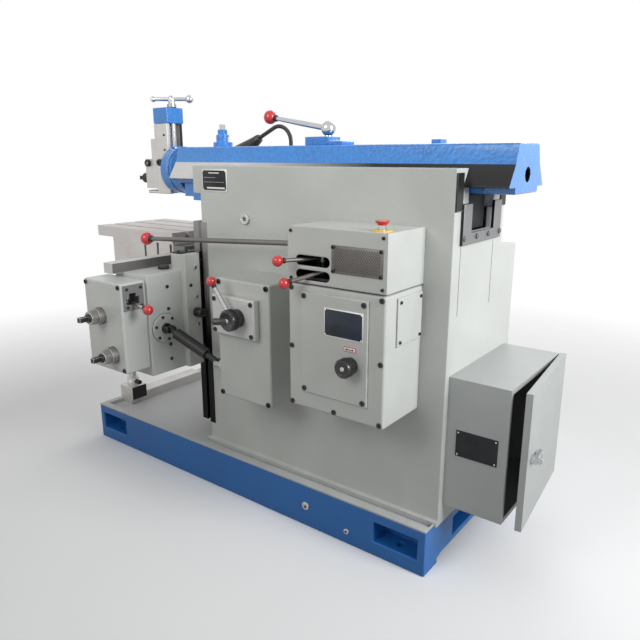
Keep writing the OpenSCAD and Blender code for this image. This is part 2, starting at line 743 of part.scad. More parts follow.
// Chrome lock handle with its spindle, inner cam and key
module door_handle() color("silver") ajar() translate([hinge_x + door_t, cab_y0 + lock_in,
    cab_z0 + lock_z]) {
    x_bar(-door_t + door_skin, gap, 0, 0, lock_r);
    x_bar(gap, latch_t, 0, 0, 1.6 * lock_r);
    block([latch_t - over, -latch_w / 2, -latch_w / 2], [2 * latch_t, latch_l, latch_w / 2]);
    block([-door_t + door_skin, -cam_l / 2, -latch_w / 4], [-door_skin - gap - latch_t, 0, latch_w / 4]);
    block([2 * latch_t - over, latch_l - latch_t, -latch_l / 2],
        [2 * latch_t + sheet_t, latch_l - over, 0]);
}

// Ram with its dovetail, keel and front flange
flange_t = 50;
flange_z_offset = 30;
flange_z = ram_z + flange_z_offset;
stop_x0_offset = 300;
stop_x0 = ram_x1 - stop_x0_offset;
stop_x1_offset = 269;
stop_x1 = ram_x1 - stop_x1_offset;
clamp_x0_offset = 625;
clamp_x0 = ram_x0 + clamp_x0_offset;
clamp_l = 100;
clamp_h = 30;
clamp_plate_l = 59;
clamp_plate_h = 14;
clamp_w = 72;
cap_x_offset = 177;
cap_x = ram_x0 + cap_x_offset;
cap_base_r = 38;
cap_t = 18;
cap_r = 26;
cap_h = 46;
cap_neck_r = 19;
cap_neck_h = 20;
spindle_r = 11;
spindle_square = 16;
spindle_end = 20;
module ram_outline() translate([ram_y, 0]) polygon([
    [-ram_top_w / 2, ram_top], [ram_top_w / 2, ram_top], [ram_neck_w / 2, neck_z],
        [dovetail_w / 2, ram_z],
    [keel_w / 2, ram_z], [keel_w / 2, keel_z], [-keel_w / 2, keel_z], [-keel_w / 2, ram_z],
    [-dovetail_w / 2, ram_z], [-ram_neck_w / 2, neck_z]]);
module ram() color("dodgerblue") difference() {
    union() {
        along_x(ram_x0, ram_x1) ram_outline();
        x_bar(ram_x0 - flange_t, ram_x0 + over, ram_y, flange_z, swivel_d / 2);
        block([stop_x0, ram_y - slot_top_w, ram_top - over],
            [stop_x1, ram_y + slot_top_w, ram_top + clamp_plate_h]);
    }
    block([clamp_x0 + clamp_l + clamp_plate_l, ram_y - slot_top_w / 2, ram_top - slot_top_d],
        [stop_x0 - over, ram_y + slot_top_w / 2, ram_top + over]);
    x_bar(ram_x1 - rear_hole_d, ram_x1 + over, ram_y, rear_hole_z, rear_hole_r);
    z_bar(cap_x, ram_y, keel_z + keel_h, ram_top + over, spindle_r + run);
    z_bar(lever_x, ram_y, ram_top - slot_top_d, ram_top + over, lever_stem_r + run);
}
lever_x_offset = 700;
lever_x = ram_x0 + lever_x_offset;
lever_stem_r = 15;
hub_z_offset = 57;
hub_z = ram_top + hub_z_offset;
hub_ball_r = 26;
lever_reach = 268;
lever_rise = 47;
lever_rod_r = 10;
// Clamp block and cap on top of the ram
module ram_top_fittings() color("dodgerblue") {
    difference() {
        union() {
            block([clamp_x0, ram_y - clamp_w / 2, ram_top],
                [clamp_x0 + clamp_l, ram_y + clamp_w / 2, ram_top + clamp_h]);
            block([clamp_x0 + clamp_l - over, ram_y - clamp_w / 2, ram_top],
                [clamp_x0 + clamp_l + clamp_plate_l, ram_y + clamp_w / 2, ram_top + clamp_plate_h]);
        }
        z_bar(lever_x, ram_y, ram_top - over, ram_top + clamp_h + over, lever_stem_r + run);
    }
    difference() {
        union() {
            z_bar(cap_x, ram_y, ram_top, ram_top + cap_t, cap_base_r);
            z_bar(cap_x, ram_y, ram_top, ram_top + cap_h, cap_r);
            z_bar(cap_x, ram_y, ram_top, ram_top + cap_h + cap_neck_h, cap_neck_r);
        }
        z_bar(cap_x, ram_y, ram_top - over, ram_top + cap_h + cap_neck_h + over, spindle_r + run);
    }
}
// Square-ended spindle that sets the ram's position
module ram_position_shaft() color("silver") {
    z_bar(cap_x, ram_y, ram_z + 2 * over, ram_top + cap_h + cap_neck_h + gap, spindle_r);
    translate([cap_x, ram_y, ram_top + cap_h + cap_neck_h + spindle_end / 2])
        cube([spindle_square, spindle_square, spindle_end], center = true);
}
// Ram clamping lever with its chrome hub and red ball
module ram_lever() color("silver") {
    tip = [lever_x - lever_reach, ram_y, hub_z + lever_rise];
    z_bar(lever_x, ram_y, ram_top - slot_top_d + gap, hub_z, lever_stem_r);
    ball([lever_x, ram_y, hub_z], hub_ball_r);
    bar([lever_x, ram_y, hub_z], tip, lever_rod_r, big_ball_r);
}
yoke_slack = 4;
yoke_wall = 26;
yoke_w = 110;
yoke_drop = 40;
rocker_top_r = 30;
rocker_top_x = pivot_x + ram_stroke / 2;
nose_bracket_x0_offset = 16;
nose_bracket_x0 = ram_x0 + nose_bracket_x0_offset;
nose_bracket_x1_offset = 66;
nose_bracket_x1 = ram_x0 + nose_bracket_x1_offset;
nose_bracket_x2_offset = 111;
nose_bracket_x2 = ram_x0 + nose_bracket_x2_offset;
nose_bracket_w = 140;
nose_bracket_h = 53;
nose_step = 15;
// Yoke that the rocker drives, and the stepped bracket under the ram's nose
module ram_brackets() color("royalblue") {
    difference() {
        block([rocker_top_x - rocker_top_r - yoke_slack - yoke_wall, ram_y - yoke_w / 2,
            rocker_top_z - yoke_drop],
            [rocker_top_x + rocker_top_r + yoke_slack + yoke_wall, ram_y + yoke_w / 2, keel_z]);
        block([rocker_top_x - rocker_top_r - yoke_slack, ram_y - yoke_w, rocker_top_z - yoke_drop - over],
            [rocker_top_x + rocker_top_r + yoke_slack, ram_y + yoke_w, keel_z - 2 * yoke_slack]);
    }
    block([nose_bracket_x0, ram_y - nose_bracket_w / 2, keel_z - nose_bracket_h],
        [nose_bracket_x1, ram_y + nose_bracket_w / 2, keel_z]);
    block([nose_bracket_x1, ram_y - nose_bracket_w / 2, keel_z - nose_bracket_h - nose_step],
        [nose_bracket_x2, ram_y + nose_bracket_w / 2, keel_z]);
}

// Tool head in front of the ram
head_x1 = ram_x0 - flange_t - gap;
disc_t = 50;
disc_rim = 2;
head_x0 = head_x1 - disc_t;
tongue_t = 40;
tongue_w = 50;
tongue_z0_offset = 97;
tongue_z0 = flange_z - tongue_z0_offset;
tongue_z1_offset = 98;
tongue_z1 = flange_z + tongue_z1_offset;
screw_x = head_x0 - tongue_t / 2;
slide_x1_offset = 10;
slide_x1 = head_x0 - slide_x1_offset;
slide_x0_offset = 84;
slide_x0 = slide_x1 - slide_x0_offset;
slide_z0_offset = 79;
slide_z0 = flange_z - slide_z0_offset;
slide_z1 = slide_z0 + slide_h;
bracket_x0_offset = 2;
bracket_x0 = slide_x0 + bracket_x0_offset;
bracket_x1_offset = 8;
bracket_x1 = slide_x1 + bracket_x1_offset;
bracket_h = 64;
bracket_w = 90;
handle_z_offset = 34;
handle_turn = 37;
handle_z = slide_z1 + bracket_h + handle_z_offset;
handle_bar_r = 8;
handle_ball_r = 12;
handle_hub_r = 15;
foot_t = 21;
foot_thin = 8;
// Graduated disc with the vertical guide tongue and the feed nut
module swivel_head() color("dodgerblue") difference() {
    union() {
        x_bar(head_x0, head_x1, ram_y, flange_z, swivel_d / 2 + disc_rim);
        block([head_x0 - tongue_t, ram_y - tongue_w / 2, tongue_z0],
            [head_x0 + over, ram_y + tongue_w / 2, tongue_z1]);
    }
    z_bar(screw_x, ram_y, tongue_z0 - over, tongue_z1 + over, feed_screw_d / 2 + run);
}
// Tool slide that wraps the tongue, with its dark foot plate
module tool_slide() color("silver") {
    difference() {
        block([slide_x0, ram_y - slide_w / 2, slide_z0], [slide_x1, ram_y + slide_w / 2, slide_z1]);
        block([head_x0 - tongue_t - gap, ram_y - tongue_w / 2 - gap, slide_z0 - over],
            [slide_x1 + over, ram_y + tongue_w / 2 + gap, slide_z1 + over]);
    }
    difference() {
        block([slide_x0 - clap_reach, ram_y - slide_w / 2, slide_z0 - foot_t],
            [slide_x1, ram_y + slide_w / 2, slide_z0]);
        block([slide_x0 - clap_reach - over, ram_y - slide_w, slide_z0 - foot_thin],
            [slide_x0, ram_y + slide_w, slide_z0 + over]);
        block([head_x0 - tongue_t - gap, ram_y - tongue_w / 2 - gap, slide_z0 - foot_t - over],
            [slide_x1 + over, ram_y + tongue_w / 2 + gap, slide_z0 + over]);
    }
}
// Blue top bracket that carries the feed screw
module slide_bracket() color("dodgerblue") difference() {
    block([bracket_x0, ram_y - bracket_w / 2, slide_z1],
        [bracket_x1, ram_y + bracket_w / 2, slide_z1 + bracket_h]);
    z_bar(screw_x, ram_y, slide_z1 - over, slide_z1 + bracket_h + over, feed_screw_d / 2 + run);
}
// Feed screw with its ball handle
module tool_feed_handle() color("silver") {
    hub = [screw_x, ram_y, handle_z];
    lead = [cos(handle_turn), sin(handle_turn), 0];
    z_bar(screw_x, ram_y, slide_z0 + 2 * over, handle_z, feed_screw_d / 2);
    z_bar(screw_x, ram_y, slide_z1 + bracket_h + gap, handle_z, handle_hub_r);
    ball(hub, handle_hub_r);
    bar(hub, hub - handle_l / 2 * lead, handle_bar_r, handle_ball_r);
    bar(hub, hub + handle_l / 2 * lead, handle_bar_r, 1.4 * handle_ball_r);
}
clap_d = 72;
clap_reach = 62;
clap_w = 84;
clap_h = 125;
clap_cheek = 15;
clap_back = 26;
apron_h = 208;
clap_x0 = slide_x0 - clap_d;
clap_pin_x_offset = 22;
clap_pin_x = clap_x0 + clap_pin_x_offset;
clap_pin_z_offset = 18;
clap_pin_z = slide_z0 + clap_h - clap_pin_z_offset;
clap_pin_r = 9;
clap_under = 6;
// Clapper box on its apron plate, with two cheeks and the hinge pin
module clapper_box() color("silver") {
    block([slide_x0 - clap_back, ram_y - clap_w / 2, slide_z0],
        [slide_x0, ram_y + clap_w / 2, slide_z0 + apron_h]);
    for (s = [-1, 1]) translate([0, ram_y + s * (clap_w / 2 - clap_cheek / 2), 0])
        block([clap_x0, -clap_cheek / 2, slide_z0],
            [slide_x0 - clap_back + over, clap_cheek / 2, slide_z0 + clap_h]);
    y_bar(clap_pin_x, ram_y - clap_w / 2 - clap_pin_r, ram_y + clap_w / 2 + clap_pin_r, clap_pin_z,
        clap_pin_r);
}
// Clapper block that lifts on the return stroke
module clapper() color("dimgray") difference() {
    block([clap_x0 + over, ram_y - clap_w / 2 + clap_cheek + gap, slide_z0 + clap_under],
        [slide_x0 - clap_back - gap, ram_y + clap_w / 2 - clap_cheek - gap, slide_z0 + clap_h - gap]);
    y_bar(clap_pin_x, ram_y - clap_w, ram_y + clap_w, clap_pin_z, clap_pin_r + run);
    block([clap_pin_x, ram_y - clap_w, clap_pin_z], [slide_x0, ram_y + clap_w, slide_z0 + clap_h + over]);
}
post_r = 22;
post_l = 60;
post_z_offset = 42;
post_z = slide_z0 + post_z_offset;
post_slot_w = 18;
post_screw_r = 9;
post_screw_l = 26;
post_head = 17;
// Tool post with its slot and clamping screw
module tool_post() color("black") {
    difference() {
        x_bar(clap_x0 + over - post_l, clap_x0 + over, ram_y, post_z, post_r);
        block([clap_x0 + over - post_slot_w - 2 * over, ram_y - post_slot_w / 2, post_z - 2 * post_r],
            [clap_x0 - over, ram_y + post_slot_w / 2, post_z + 2 * post_r]);
    }
    x_bar(clap_x0 + over - post_l - post_screw_l, clap_x0 + over - post_l, ram_y, post_z, post_screw_r);
    translate([clap_x0 + over - post_l - post_screw_l, ram_y, post_z]) cube(post_head, center = true);
}

// Cross rail on the front ways
rail_t = 185;
rail_x1 = way_x0 + rail_wrap;
rail_x0 = rail_x1 - rail_t;
rail_y0_offset = 252;
rail_y0 = col_y0 - rail_y0_offset;
rail_y1 = rail_y0 + rail_l;
rail_z0_offset = 350;
rail_z0 = deck_z + rail_z0_offset;
rail_z1 = rail_z0 + rail_h;
lip_t = 52;
lip_h = 37;
lip_end = 48;
tower_t = 52;
tower_h = 59;
tower_y0_offset = 102;
tower_y0 = way_y0 - tower_y0_offset;
tower_y1_offset = 54;
tower_y1 = way_y1 + tower_y1_offset;
cross_x_offset = 136;
cross_x = rail_x1 - cross_x_offset;
cross_z_offset = 238;
cross_z = rail_z0 + cross_z_offset;
cross_r = 15;
cross_slot = 38;
cross_in = 27;
lift_shaft_x_offset = 76;
lift_shaft_x = rail_x1 - lift_shaft_x_offset;
lift_shaft_z_offset = 99;
lift_shaft_z = rail_z0 + lift_shaft_z_offset;
lift_shaft_r = 15;
lift_shaft_end_offset = 49;
lift_shaft_end = ram_y - lift_shaft_end_offset;
elev_x_offset = 75;
elev_x = rail_x1 - elev_x_offset;
elev_r = 18;
elev_top_offset = 140;
elev_top = rail_z0 + elev_top_offset;
elev_bore_offset = 20;
elev_bore = rail_h - elev_bore_offset;
joint_flange_r = 55;
joint_flange_t = 8;
fork_r = 20;
cheek_off = 4;
cheek_t = 74;
// Rail casting: channel for the way block, lip for the saddle, slot for the cross nut
module cross_rail() color("gainsboro") difference() {
    union() {
        block([rail_x0, rail_y0, rail_z0], [rail_x1, rail_y1, rail_z1]);
        block([rail_x0, rail_y0 - lip_end, rail_z1 - over], [rail_x0 + lip_t, rail_y1, rail_z1 + lip_h]);
        block([rail_x1 - tower_t, tower_y0, rail_z1 - over], [rail_x1, tower_y1, rail_z1 + tower_h]);
        block([rail_x1 - over, tower_y0, rail_z0],
            [col_x0 - cheek_off, tower_y0 + cheek_t, rail_z1 + tower_h]);
        x_bar(rail_x1 - over, rail_x1 + joint_flange_t, joint_y, joint_z, joint_flange_r);
        x_bar(rail_x1, sleeve_from.x + knuckle_r / 2, joint_y, joint_z, fork_r);
    }
    block([sleeve_from.x - knuckle_r - over, joint_y - knuckle_r - gap, joint_z - 2 * fork_r],
        [sleeve_from.x + 2 * fork_r, joint_y + knuckle_r + gap, joint_z + 2 * fork_r]);
    block([way_x0 - gap, way_y0 - gap, rail_z0 - over],
        [rail_x1 + over, way_y1 + gap, rail_z1 + tower_h + over]);
    block([rail_x0 - over, rail_y0 + cross_in, cross_z - cross_slot],
        [cross_x + cross_slot, rail_y1 - cross_in, cross_z + cross_slot]);
    y_bar(cross_x, rail_y0 - over, rail_y1 + over, cross_z, cross_r + run);
    y_bar(lift_shaft_x, rail_y0 - over, lift_shaft_end + over, lift_shaft_z, lift_shaft_r + run);
    z_bar(elev_x, ram_y, rail_z0 - over, rail_z0 + elev_bore, elev_r + run);
}
rgear_x0_offset = 43;
rgear_x0 = rail_x0 - rgear_x0_offset;
rgear_x1_offset = 7;
rgear_x1 = rail_x1 - rgear_x1_offset;
rgear_y0_offset = 108;
rgear_y0 = rail_y0 - rgear_y0_offset;
rgear_z0_offset = 35;
rgear_z0 = rail_z0 + rgear_z0_offset;
rgear_z1_offset = 16;
rgear_z1 = rail_z1 - rgear_z1_offset;
rgear_wall = 14;
gate_lever_y_offset = 63;
gate_lever_y = rail_y0 - gate_lever_y_offset;
gate_lever_z_offset = 64;
gate_lever_z = rgear_z1 - gate_lever_z_offset;
gate_pivot_in = 28;
gate_pin_r = 4;
module gate_pin(r) z_bar(rgear_x1 - gate_pivot_in, gate_lever_y, gate_lever_z - gate_hole_h,
    rgear_z1 - rgear_wall + over, r);
gate_hole_w = 34;
gate_hole_h = 26;
// Gearbox on the rail's near end with its cover
module rail_gearbox() color("gainsboro") {
    difference() {
        block([rgear_x0, rgear_y0 + rgear_wall, rgear_z0], [rgear_x1, rail_y0, rgear_z1]);
        block([rgear_x0 + rgear_wall, rgear_y0 - over, rgear_z0 + rgear_wall],
            [rgear_x1 - rgear_wall, rail_y0 - rgear_wall, rgear_z1 - rgear_wall]);
        block([rgear_x1 - rgear_wall - over, gate_lever_y - gate_hole_w, gate_lever_z - gate_hole_h],
            [rgear_x1 + over, gate_lever_y + gate_hole_w, gate_lever_z + gate_hole_h]);
        y_bar(cross_x, rail_y0 - rgear_wall - over, rail_y0 + over, cross_z, cross_r + run);
        y_bar(lift_shaft_x, rail_y0 - rgear_wall - over, rail_y0 + over, lift_shaft_z,
            lift_shaft_r + run);
    }
    difference() {
        block([rgear_x0, rgear_y0, rgear_z0], [rgear_x1, rgear_y0 + rgear_wall, rgear_z1]);
        y_bar(cross_x, rgear_y0 - over, rgear_y0 + rgear_wall + over, cross_z, cross_r + run);
        y_bar(lift_shaft_x, rgear_y0 - over, rgear_y0 + rgear_wall + over, lift_shaft_z,
            lift_shaft_r + run);
    }
    gate_pin(gate_pin_r);
}
keeper_t = 10;
keeper_w = 40;
gate_y0_offset = 100;
gate_y0 = rail_y0 - gate_y0_offset;
gate_w = 85;
gate_h = 92;
gate_z0_offset = 99;
gate_z0 = rgear_z1 - gate_z0_offset;
gate_t = 6;
gate_arm = 27;
gate_slot = 14;
ring_shares = [0.15, 0.44, 0.72, 0.93];
// Keeper strips behind the ways, the lever gate and the rail's screws
module rail_fittings() color("gray") {
    for (s = [-1, 1]) {
        y = s < 0 ? way_y0 + way_neck_in - gap - keeper_w : way_y1 - way_neck_in + gap;
        block([rail_x1, y, rail_z0], [rail_x1 + keeper_t, y + keeper_w, rail_z1 + tower_h]);
    }
    difference() {
        block([rgear_x1, gate_y0, gate_z0], [rgear_x1 + gate_t, gate_y0 + gate_w, gate_z0 + gate_h]);
        block([rgear_x1 - over, gate_lever_y - gate_arm, gate_lever_z - gate_slot],
            [rgear_x1 + gate_t + over, gate_lever_y + gate_arm, gate_lever_z + gate_slot]);
        block([rgear_x1 - over, gate_lever_y - gate_slot, gate_lever_z - gate_slot],
            [rgear_x1 + gate_t + over, gate_lever_y + gate_slot, gate_lever_z + gate_arm]);
    }
    screws_x(corners(gate_y0, gate_y0 + gate_w, gate_z0, gate_z0 + gate_h, screw_in), rgear_x1 + gate_t,
        small_screw_r);
    screws_y(corners(rgear_x0, rgear_x1, rgear_z0, rgear_z1, screw_in), rgear_y0);
    screws_x([for (s = ring_shares) [way_y0 + way_neck_in - keeper_w / 2,
        rail_z0 + s * (rail_h + tower_h)]],
        rail_x1 + keeper_t, small_screw_r);
}
gate_rod_l = 118;
gate_tilt = 11;
// Feed direction lever in the gate
module gate_lever() color("silver") {
    root = [rgear_x1 - gate_pivot_in, gate_lever_y, gate_lever_z];
    tip = root + gate_rod_l * [cos(gate_tilt), 0, -sin(gate_tilt)];
    difference() {
        union() {
            lever_hub(root, hub_ring_r);
            bar(root, tip, rod_r);
        }
        gate_pin(gate_pin_r + run);
    }
    ball(tip, 1.1 * ball_r);
}
crank_l = 92;
crank_square = 18;
crank_end = 40;
collar_l = 52;
collar_step = 0.75;
module hand_shaft(x, z, r, y_end) {
    y_bar(x, rgear_y0 - crank_l + crank_end, y_end, z, r);
    y_bar(x, rgear_y0 - collar_l / 2, rgear_y0 - gap, z, collar_d / 2);
    y_bar(x, rgear_y0 - collar_l, rgear_y0 - gap, z, collar_step * collar_d / 2);
    translate([x, rgear_y0 - crank_l + crank_end / 2 + over / 2, z])
        cube([crank_square, crank_end + over, crank_square], center = true);
}
// Cross feed screw and elevating shaft, each with its graduated collar and square end
module cross_feed_screw() color("silver") hand_shaft(cross_x, cross_z, cross_r, rail_y1);
module elevating_shaft() color("silver") hand_shaft(lift_shaft_x, lift_shaft_z, lift_shaft_r,
    lift_shaft_end);
elev_boss_r = 40;
elev_boss_h = 45;
// Upright elevating screw in its boss on the tray
module elevating_screw() color("silver") {
    z_bar(elev_x, ram_y, deck_z, elev_top, elev_r);
    z_bar(elev_x, ram_y, deck_z, deck_z + elev_boss_h, elev_boss_r);
}

// Table and saddle
table_y0_offset = 132;
table_y0 = ram_y - table_y0_offset;
table_y1 = table_y0 + table_w;
saddle_t = 25;
saddle_x0 = rail_x0 - gap - saddle_t;
saddle_z0_offset = 20;
saddle_z0 = rail_z0 + saddle_z0_offset;
saddle_back = 46;
hook_z0 = rail_z1 + lip_h + gap;
hook_z1_offset = 22;
hook_z1 = hook_z0 + hook_z1_offset;
nut_w = 60;
nut_h = 30;
table_x1_offset = 2;
table_x1 = saddle_x0 - table_x1_offset;
table_x0 = table_x1 - table_l;
table_under = table_z - table_t;
table_front = 112;
table_z0 = table_under - table_box_h;
table_wall = 30;
table_side = 54;
slot_neck = 18;
slot_head_w = 30;
slot_head_h = 14;
slot_pitch = 115;
side_slot_pitch = 85;
side_slot_w = 14;
side_slot_head = 24;
side_slot_first = 16;
// Saddle that hangs on the rail's lip and carries the cross nut
module saddle() color("darkgray") difference() {
    union() {
        block([saddle_x0, table_y0, saddle_z0], [saddle_x0 + saddle_t, table_y1, hook_z1]);
        block([saddle_x0, table_y0, hook_z0], [rail_x0 + saddle_back, table_y1, hook_z1]);
        block([saddle_x0 + saddle_t - over, ram_y - nut_w / 2, cross_z - nut_h],
            [cross_x + nut_h, ram_y + nut_w / 2, cross_z + nut_h]);
    }
    y_bar(cross_x, ram_y - nut_w, ram_y + nut_w, cross_z, cross_r + run);
}
module t_slot_outline(w, neck, head_w, head_h) {
    translate([-w / 2, -neck]) square([w, neck + over]);
    translate([-head_w / 2, -neck - head_h]) square([head_w, head_h]);
}
foot_x_offset = 140;
foot_x = table_x0 + foot_x_offset;
foot_y_offset = 24;
foot_y = table_y0 + foot_y_offset;
foot_rod_r = 18;
// Box table with T-slots along the top and up the near side
module table() color("lightgray") difference() {
    union() {
        block([table_x0, table_y0, table_under], [table_x1, table_y1, table_z]);
        block([table_x0 + table_front, table_y0, table_z0], [saddle_x0, table_y1, table_under + over]);
    }
    block([table_x0 + table_front + table_wall, table_y0 + table_side, table_z0 + table_wall],
        [saddle_x0 + over, table_y1 - table_side, table_under - table_wall]);
    for (k = [-1, 0, 1])
        along_x(table_x0 - over, table_x1 + over) translate([(table_y0 + table_y1) / 2 + k * slot_pitch,
            table_z])
            t_slot_outline(slot_w, slot_neck, slot_head_w, slot_head_h);
    for (k = [0, 1, 2]) translate([saddle_x0 - side_slot_first - k * side_slot_pitch, table_y0,
        table_z0 - over])
        linear_extrude(table_box_h) rotate(180) t_slot_outline(side_slot_w, slot_neck, side_slot_head,
            slot_head_h);
    z_bar(foot_x, foot_y, table_z0 - over, table_under - table_wall, foot_rod_r + run);
}
guide_w = 70;
guide_h = 45;
guide_l = 440;
guide_y0_offset = 40;
guide_y0 = foot_y - guide_y0_offset;
// Guide bar for the table support, across the tray
module support_guide() color("lightgray") block([foot_x - guide_w / 2, guide_y0, deck_z],
    [foot_x + guide_w / 2, guide_y0 + guide_l, deck_z + guide_h]);
foot_l = 80;
foot_wall = 12;
foot_h1 = 40;
foot_top_offset = 60;
foot_top = table_z0 + foot_top_offset;
// Support foot that straddles the guide, with its rod and clamp screws
module support_foot() color("silver") {
    difference() {
        block([foot_x - guide_w / 2 - foot_wall, foot_y - foot_l / 2, deck_z + guide_h / 2],
            [foot_x + guide_w / 2 + foot_wall, foot_y + foot_l / 2, deck_z + guide_h + foot_h1]);
        block([foot_x - guide_w / 2 - gap, foot_y - foot_l, deck_z],
            [foot_x + guide_w / 2 + gap, foot_y + foot_l, deck_z + guide_h + gap]);
    }
    z_bar(foot_x, foot_y, deck_z + guide_h + foot_h1 - over, foot_top, foot_rod_r);
    z_bar(foot_x, foot_y, deck_z + guide_h + foot_h1 - over, deck_z + guide_h + 2 * foot_h1,
        1.5 * foot_rod_r);
    x_bar(foot_x + foot_rod_r, foot_x + 3 * foot_rod_r, foot_y, deck_z + guide_h + 1.5 * foot_h1,
        0.6 * foot_rod_r);
}

// Telescopic shaft: the sleeve hangs on the rail, the inner shaft on the feed box
sleeve_r = 21;
sleeve_bore = 17;
inner_r = 11;
knuckle_r = 16;
joint_out = 26;
outlet_out = 30;
sleeve_from = [rail_x1 + joint_flange_t + joint_out, joint_y, joint_z];
shaft_to = [feed_x0 - outlet_l - outlet_out, outlet_y, outlet_z];
joint_run = shaft_to - sleeve_from;
joint_dir = joint_run / norm(joint_run);
joint_len = norm(joint_run);
sleeve_share = 0.74;
// Knuckle eye across the shaft's swing
module knuckle(p) {
    cross = [-joint_dir.y, joint_dir.x, 0] / norm([joint_dir.x, joint_dir.y]);
    bar(p - 0.7 * knuckle_r * cross, p + 0.7 * knuckle_r * cross, 0.9 * knuckle_r);
}
module feed_sleeve() color("black") {
    difference() {
        bar(sleeve_from + 1.8 * knuckle_r * joint_dir, sleeve_from + sleeve_share * joint_len * joint_dir,
            sleeve_r);
        bar(sleeve_from + 2.4 * knuckle_r * joint_dir, shaft_to, sleeve_bore);
    }
    bar(sleeve_from, sleeve_from + 2 * knuckle_r * joint_dir, 0.6 * knuckle_r);
    knuckle(sleeve_from);
}
module feed_shaft() color("black") {
    bar(sleeve_from + 4.6 * knuckle_r * joint_dir, shaft_to, inner_r);
    knuckle(shaft_to);
}
clutch_reach = 851;
clutch_fall = 48;
clutch_rod_r = 9;
shift_out = 60;
upper_lead = 73;
lower_lead = 105;
lower_fall = 42;
shift_rod_r = 7;
// Long clutch lever along the column
module clutch_lever() color("silver") {
    root = [clutch_x, clutch_y, clutch_z];
    tip = root - [clutch_reach, 0, clutch_fall];
    lead = (tip - root) / norm(tip - root);
    difference() {
        lever_hub(root, 1.2 * hub_ring_r);
        lever_pin(clutch_x, clutch_y, pin_r + run);
    }
    bar(root + 0.7 * hub_ring_r * lead, tip, clutch_rod_r, big_ball_r);
}
// Speed shift levers in the control box's slots
module shift_lever(x, z, lead, fall) color("silver") {
    root = [x, pivot_y, z];
    tip = root - [lead, shift_pivot_in + shift_out, fall];
    difference() {
        union() {
            lever_hub(root, hub_ring_r);
            bar(root, tip, shift_rod_r);
        }
        lever_pin(x, pivot_y, pin_r + run);
    }
    ball(tip, ball_r);
}
module shift_lever_upper() shift_lever(upper_pivot_x, shift_upper_z, upper_lead, 0);
module shift_lever_lower() shift_lever(lower_pivot_x, shift_lower_z + lower_fall / 2, lower_lead,
    lower_fall);
feed_lever_lead = 76;
feed_lever_rise = 122;
nose_r = 12;
nose_reach = 52;
// Feed rate knob with its nose and lever
module feed_lever() color("black") {
    y0 = feed_y - plate_t;
    hub = [feed_hub_x, y0 - feed_hub_l / 2, feed_hub_z];
    tip = hub + [-feed_lever_lead, -feed_hub_l / 4, feed_lever_rise];
    y_bar(feed_hub_x, y0 - feed_hub_l, y0 - gap, feed_hub_z, feed_hub_r);
    y_bar(feed_hub_x, y0 - over, feed_y + box_wall, feed_hub_z, feed_stem_r);
    bar(hub, hub - [nose_reach, nose_r, 0], nose_r);
    bar(hub, tip, rod_r, ball_r);
}
// Stroke setting knob
module stroke_knob() color("black") {
    y_bar(knob_x, cover_y - knob_l, cover_y - gap, knob_z, knob_r);
    y_bar(knob_x, cover_y - over, box_y + box_wall, knob_z, knob_stem_r);
}
// Emergency stop button
module estop_button() color("red") {
    z_bar(stop_x, stop_y, control_z1 - box_wall, control_z1 + stop_stem_h, stop_stem_r);
    z_bar(stop_x, stop_y, control_z1 + stop_stem_h - over, control_z1 + stop_stem_h + stop_head_h,
        stop_r);
}

// Crank gear, rocker and sliding block
rocker_y0 = ram_y - rocker_t / 2;
pivot_cheek = 36;
pivot_gap = 4;
pivot_plate = 12;
module on_rocker() translate([pivot_x, 0, pivot_z]) rotate([0, swing, 0]) children();
module rocker_arm() color("dimgray") difference() {
    on_rocker() {
        block([-rocker_w / 2, rocker_y0, 0],
            [rocker_w / 2, rocker_y0 + rocker_t, rocker_waist_share * rocker_l]);
        block([-rocker_neck_r, rocker_y0, rocker_waist_share * rocker_l - over],
            [rocker_neck_r, rocker_y0 + rocker_t, rocker_l]);
        y_bar(0, rocker_y0, rocker_y0 + rocker_t, 0, rocker_w / 2);
        y_bar(0, rocker_y0, rocker_y0 + rocker_t, rocker_l, rocker_top_r);
    }
    on_rocker() {
        block([-rocker_slot_w / 2, rocker_y0 - over, rocker_slot_shares[0] * rocker_l],
            [rocker_slot_w / 2, rocker_y0 + rocker_t + over, rocker_slot_shares[1] * rocker_l]);
        y_bar(0, rocker_y0 - over, rocker_y0 + rocker_t + over, 0, pivot_r + run);
    }
}
module crank_block() color("goldenrod") on_rocker() translate([0, 0, gear_to_pivot * cos(swing)])
    block([-rocker_slot_w / 2 + gap, rocker_y0, -block_l / 2],
        [rocker_slot_w / 2 - gap, rocker_y0 + rocker_t, block_l / 2]);
module rocker_pivot() color("gray") {
    for (y = [rocker_y0 - pivot_gap - pivot_cheek, rocker_y0 + rocker_t + pivot_gap])
        block([pivot_x - rocker_w / 2, y, deck_z],
            [pivot_x + rocker_w / 2, y + pivot_cheek, pivot_z + pivot_r + pivot_plate]);
    block([pivot_x - rocker_w / 2, rocker_y0 - pivot_gap - over, deck_z],
        [pivot_x + rocker_w / 2, rocker_y0 + rocker_t + pivot_gap + over, deck_z + pivot_plate]);
    y_bar(pivot_x, rocker_y0 - pivot_gap - over, rocker_y0 + rocker_t + pivot_gap + over, pivot_z,
        pivot_r);
}
module bull_gear() color("dimgray") {
    spur_gear(pivot_x, gear_z, bull_y0, bull_y0 + bull_t, bull_teeth, bull_module, pinion_angle);
    y_bar(pivot_x, col_y0 + over + gap, bull_y0 + over, gear_z, hub_r);
    y_bar(pivot_x + crank_r * cos(swing), bull_y0 + bull_t - over, rocker_y0 - pin_short,
        gear_z - crank_r * sin(swing), crank_pin_r);
}
